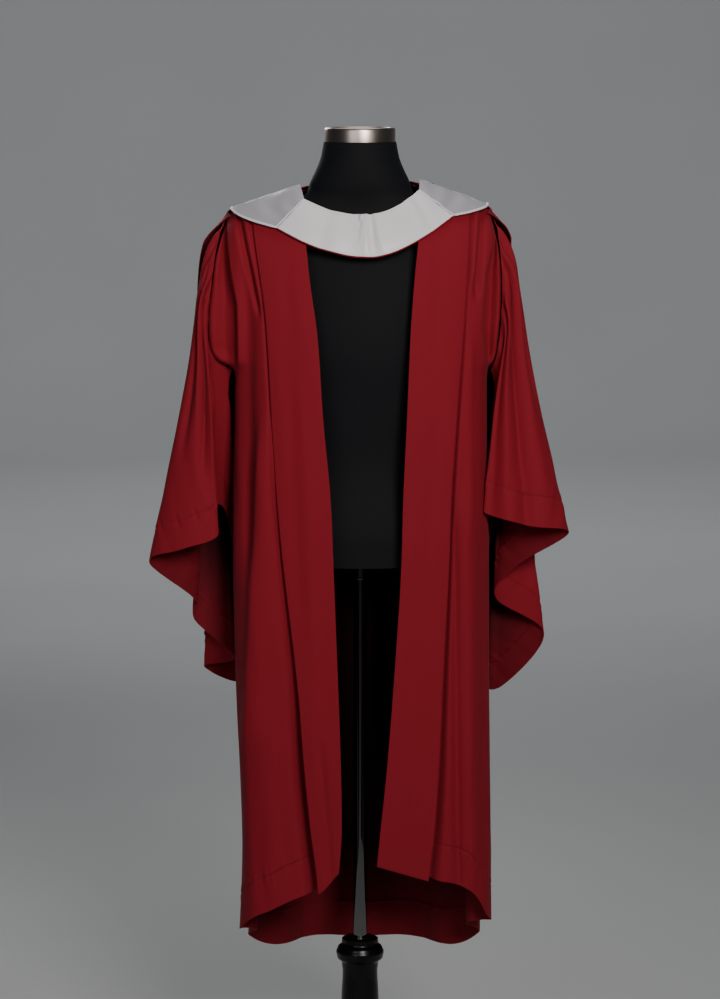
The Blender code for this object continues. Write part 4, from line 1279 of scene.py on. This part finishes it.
def sleeve_piece(side, finish, inside, sewing):
    """One bell sleeve, seamed under the arm, with its gathers and hanging folds."""
    flip = side == "right"
    folds = SLEEVE_RIGHT if flip else SLEEVE_LEFT
    grid = refine(sleeve_points(side), 230, 150, 2.6)
    normal = facing(grid, flip)
    down = lengths_down(grid)
    across = lengths_across(grid)
    from_hem = down[:, -1:] - down
    at = len(folds) * np.arange(len(grid)) / (len(grid) - 1.0)
    share = down / down[:, -1:]
    depth = np.zeros_like(down)
    for crease in SLEEVE_CREASES[side]:
        away = ((at - crease.at + 0.5 * len(folds)) % len(folds) - 0.5 * len(folds)) / crease.width
        ends = ease((share - crease.top + 0.08) / 0.08) * ease((crease.low + 0.25 - share) / 0.25)
        depth += crease.depth * np.exp(-away ** 2)[:, None] * ends
    depth *= ease(share / 0.07)
    around = np.array([ring_read(folds, place, "around") for place in at])
    gathers = np.cos(2.0 * math.pi * GATHER_PLEATS * around) * ease(1.0 - np.abs(around - 0.5) / 0.34)
    depth += GATHER_DEPTH * gathers[:, None] * np.exp(-(share / GATHER_REACH) ** 2) * ease(share / 0.02)
    depth += slack(across, down, 31 if flip else 32, 0.0008)
    depth += hem_line(from_hem, SLEEVE_HEM_DEEP, across, 33 if flip else 34)
    grid = grid + normal * depth[..., None]
    thin = hem_thickness(from_hem, SLEEVE_HEM_DEEP)
    # Painted hollow shade only on the rear folds, whose inner face shows below the front hem
    rear = ease((at - REAR_FOLDS) / 0.8) * ease((len(folds) - at) / 0.5)
    sleeve = shell(f"sleeve_{side}", grid, flip, finish, CLOTH, thin, inside, from_hem * rear[:, None])
    dressed(sleeve, "crimson_cloth", f"sleeve_{side}_front", f"sleeve_{side}_back")
    seam = stitches(f"sleeve_hem_stitches_{side}", grid, facing(grid, flip), from_hem, SLEEVE_HEM_DEEP, 0.0042, sewing)
    dressed(seam, "crimson_cloth")
    line = grid[:, ARMHOLE_STITCH_ROW] + ARMHOLE_STITCH_LIFT * facing(grid, flip)[:, ARMHOLE_STITCH_ROW]
    seam = thread(f"armhole_stitches_{side}", line, normal[:, ARMHOLE_STITCH_ROW], 0.0042, sewing)
    dressed(seam, "crimson_cloth")
    return sleeve


def creased_band(columns, rows, lift=BAND_LIFT, longer=0.0):
    """The neckband's surface and how far its soft creases and rolled edges stand off it."""
    grid = refine(neckband_points(lift=lift, longer=longer), columns, rows)
    at = np.linspace(0.0, len(NECKBAND) - 1.0, columns)[:, None]
    low = np.linspace(0.0, 1.0 + longer, rows)[None, :]
    depth = np.zeros((columns, rows))
    for crease in NECK_CREASES:
        away = (at - crease.at - crease.lean * (low - 0.5)) / crease.width
        depth += crease.depth * np.exp(-away ** 2) * (0.45 + 0.55 * np.sin(math.pi * np.clip(low, 0.0, 1.0)))
    edge = np.minimum(low, 1.0 - low)
    return grid, depth + EDGE_STAND * np.exp(-(edge / 0.045) ** 2)


def hood_pieces(finish, satin, piping):
    """The hood's crimson shell, its satin and the piped edges."""
    grid = refine(cape_points(), 130, 110)
    normal = facing(grid, False)
    down = lengths_down(grid)
    across = lengths_across(grid)
    middle = np.abs(np.arange(len(grid)) / (len(grid) - 1.0) - 0.5)[:, None]
    depth = slack(across, down, 41, 0.0008) - 0.0008 * np.exp(-(middle / 0.005) ** 2)
    cape = shell("hood_cape", grid + normal * depth[..., None], False, finish)
    dressed(cape, "crimson_cloth", "hood_cape")

    grid, depth = creased_band(150, 46)
    neckband = shell("hood_neckband", grid + facing(grid, True) * depth[..., None], True, satin)
    dressed(neckband, "silver_satin", "hood_neckband")
    grid, depth = creased_band(110, 26, BAND_LIFT - SATIN - SEAM, 0.045)
    under = shell("hood_neckband_backing", grid + facing(grid, True) * depth[..., None], True, finish, BACKING)
    dressed(under, "crimson_cloth")

    # The satin behind the shoulders: the same silver satin darkened as painted shade
    turned = satin_finish("silver_satin_painted_shade", SILVER_PAINTED_SHADE, 0.48)
    pieces = [cape, neckband, under]
    for side, flip in (("left", True), ("right", False)):
        grid = refine(satin_points(side), 48, 150)
        normal = facing(grid, flip)
        down = lengths_down(grid)
        across = lengths_across(grid)
        place = np.linspace(0.0, 1.0, len(grid))[:, None]
        rays = np.sin(2.0 * math.pi * (2.3 * place + 1.4 * down / 0.12)) * np.exp(-(down / 0.085) ** 2)
        depth = 0.0009 * rays * np.sin(math.pi * place) + slack(across, down, 51 if flip else 52, 0.0006)
        grid = grid + normal * depth[..., None]
        lining = shell(f"hood_satin_{side}", grid, flip, turned)
        dressed(lining, "silver_satin", f"hood_satin_{side}")
        outer = grid[-1, :58:2]
        cord = tube(f"hood_piping_outer_{side}", outer + normal[-1, :58:2] * 0.0006, 0.0019, piping)
        dressed(cord, "silver_satin")
        seam = grid[:, 1]
        mitre = tube(f"hood_piping_mitre_{side}", seam + normal[:, 1] * 0.0005, 0.0011, piping)
        dressed(mitre, "silver_satin")
        pieces.append(lining)
    return pieces


def form_pieces(jersey, chrome, tubing, gloss):
    """The limbless form, its neck cap, pole, collar, hub and legs."""
    rings = []
    levels, sides = 100, 100
    angles = 2.0 * math.pi * np.arange(sides) / sides
    for level in range(levels + 1):
        z = mix(FORM[0].z, FORM[-1].z, level / levels)
        wide = smooth_read(FORM, z, "left")
        front, rear = smooth_read(FORM, z, "front"), smooth_read(FORM, z, "back")
        deep = np.where(np.sin(angles) > 0.0, rear, front)
        rings.append(np.stack([wide * np.cos(angles), deep * np.sin(angles), np.full(sides, z)], axis=1))
    torso = lofted("form_torso", rings, jersey)
    dressed(torso, "form_jersey", "form_torso")

    low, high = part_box("neck_cap")
    radius = 0.5 * (high.x - low.x)
    rim = 0.0016
    profile = [(low.z, radius - rim), (low.z, radius), (high.z - 2.4 * rim, radius), (high.z - 1.2 * rim, radius - 0.3 * rim)]
    profile += [(high.z - 0.4 * rim, radius - rim), (high.z, radius - 2.4 * rim), (high.z, radius - 5.0 * rim)]
    profile += [(high.z - rim, radius - 6.0 * rim)]
    dressed(turned_shape("neck_cap", profile, chrome, 96), "chrome", "neck_cap")

    low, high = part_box("pole")
    radius = 0.5 * (high.x - low.x)
    dressed(turned_shape("pole", [(low.z, radius), (high.z, radius)], tubing, 48), "chrome", "pole")

    low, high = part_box("pole_clamp")
    outer = 0.5 * (high.x - low.x)
    edge = 0.0012
    profile = [(low.z, radius + SEAM), (low.z, outer - edge), (low.z + edge, outer), (high.z - edge, outer)]
    profile += [(high.z, outer - edge), (high.z, radius + SEAM)]
    dressed(turned_shape("pole_clamp", profile, tubing, 48), "chrome", "pole_clamp")

    curve = []
    for k in range(len(HUB) - 1):
        for t in (0.0, 0.25, 0.5, 0.75):
            z = mix(HUB[k].z, HUB[k + 1].z, t)
            curve.append((z, mix(HUB[k].radius, HUB[k + 1].radius, float(ease(t)))))
    curve.append((HUB[-1].z, HUB[-1].radius))
    dressed(turned_shape("hub", curve, gloss, 72), "black_gloss", "hub")
    for name in ("leg_1", "leg_2", "leg_3"):
        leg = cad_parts[name]
        leg.data.materials.clear()
        leg.data.materials.append(gloss)


def set_stage():
    """A plain pale floor that sweeps up all round, out past every view, and soft studio light."""
    flat, bend, high, turns = 9.5, 2.0, 8.0, 72
    profile = [(0.5 * flat, 0.0), (flat, 0.0)]
    for k in range(1, 13):
        angle = 0.5 * math.pi * k / 12
        profile.append((flat + bend * math.sin(angle), bend * (1.0 - math.cos(angle))))
    profile.append((flat + bend, high))
    vertices = [(0.0, 0.0, 0.0)]
    for radius, z in profile:
        for turn in range(turns):
            angle = 2.0 * math.pi * turn / turns
            vertices.append((radius * math.cos(angle), radius * math.sin(angle), z))
    faces = [(0, 1 + turn, 1 + (turn + 1) % turns) for turn in range(turns)]
    for ring in range(len(profile) - 1):
        first = 1 + ring * turns
        for turn in range(turns):
            after = (turn + 1) % turns
            faces.append((first + turn, first + turns + turn, first + turns + after, first + after))
    mesh = bpy.data.meshes.new("studio_floor")
    mesh.from_pydata(vertices, [], faces)
    mesh.shade_smooth()
    floor = bpy.data.objects.new("studio_floor", mesh)
    bpy.context.scene.collection.objects.link(floor)
    made = bpy.data.materials.new("studio_paper")
    tree, shader = nodes_of(made)
    where = tree.nodes.new("ShaderNodeTexCoord")
    cloud = add(tree, "ShaderNodeTexNoise", Scale=0.8, Detail=2.0)
    tree.links.new(where.outputs["Object"], cloud.inputs["Vector"])
    tree.links.new(two_tones(tree, cloud.outputs["Fac"], (0.44, 0.45, 0.45), (0.50, 0.51, 0.51)), shader.inputs["Base Color"])
    shader.inputs["Roughness"].default_value = 0.9
    mesh.materials.append(made)

    world = bpy.data.worlds.new("studio")
    bpy.context.scene.world = world
    world.use_nodes = True
    world.node_tree.nodes["Background"].inputs["Color"].default_value = (0.75, 0.80, 0.88, 1.0)
    world.node_tree.nodes["Background"].inputs["Strength"].default_value = 0.04
    lamp("key", (1.2, -4.35, 2.8), (0.0, 0.0, 1.55), 1.3, 25.0, (1.0, 0.97, 0.95), 70.0)
    lamp("fill", (-1.9, -4.6, 2.3), (0.0, 0.0, 1.45), 2.0, 8.5, (0.94, 0.97, 1.0), 90.0)
    lamp("top", (0.0, 0.4, 3.4), (0.0, 0.2, 1.2), 1.4, 12.0, (1.0, 1.0, 1.0))
    lamp("rear", (-1.7, 4.4, 2.9), (0.0, 0.0, 1.30), 2.0, 17.0, (1.0, 0.98, 0.96), 80.0)
    lamp("backdrop", (0.0, 6.0, 6.0), (0.0, 9.0, 0.0), 3.0, 190.0, (0.96, 0.98, 1.0))


def lamp(name, place, target, size, power, colour, spread_degrees=180.0):
    light = bpy.data.lights.new(name, "AREA")
    light.shape = "SQUARE"
    light.size = size
    light.spread = math.radians(spread_degrees)
    light.energy = power
    light.color = colour
    holder = bpy.data.objects.new(name, light)
    holder.location = place
    holder.rotation_euler = (Vector(target) - Vector(place)).to_track_quat("-Z", "Y").to_euler()
    bpy.context.scene.collection.objects.link(holder)


def set_camera():
    """The photograph's view: 6 m before the pole, looking 7.1 degrees down."""
    distance, height, pitch = 6.0, 1.75, 7.1
    camera = bpy.data.cameras.new("camera")
    camera.lens = 3750.0 * 36.0 / 999.0
    camera.sensor_width = 36.0
    holder = bpy.data.objects.new("camera", camera)
    holder.location = (POLE[0], POLE[1] - distance, height)
    holder.rotation_euler = (math.radians(90.0 - pitch), 0.0, 0.0)
    bpy.context.scene.collection.objects.link(holder)
    bpy.context.scene.camera = holder


# A cloth piece's cut, before it was sewn and hung: width, length and area
Cut = namedtuple("Cut", "width length area")


def main():
    set_camera()
    set_stage()
    crimson = crimson_finish("crimson_twill", 1.0)
    # Inner faces: the twill darkened as painted shade, with painted hollow shade deep inside
    inside = crimson_finish("crimson_twill_inside_painted_shade", INSIDE_PAINTED_SHADE, paints_hollow_shade=True)
    sewing = thread_finish("crimson_thread", shade(CRIMSON, 0.62))
    satin = satin_finish("silver_satin_weave", SILVER, 0.42)
    piping = satin_finish("pale_piping", PIPING, 0.5)
    jersey = jersey_finish()
    chrome = hard_finish("chrome_plate", CAP_METAL, 0.30, 1.0, 60.0, 0.08)
    # The pole and clamp: chrome darkened as painted shade
    tubing = hard_finish("pole_plate_shaded", POLE_METAL_SHADED, 0.09, 1.0, 60.0, 0.06)
    gloss = hard_finish("black_lacquer", GLOSS_BLACK, 0.22, 0.0, 45.0, 0.14)
    form_pieces(jersey, chrome, tubing, gloss)
    for side in ("left", "right"):
        band, side_piece = front_pieces(side, crimson, inside, sewing)
        sleeve_piece(side, crimson, inside, sewing)
    back_piece(crimson, inside, sewing)
    cape, neckband, under, left, right = hood_pieces(crimson, satin, piping)


main()
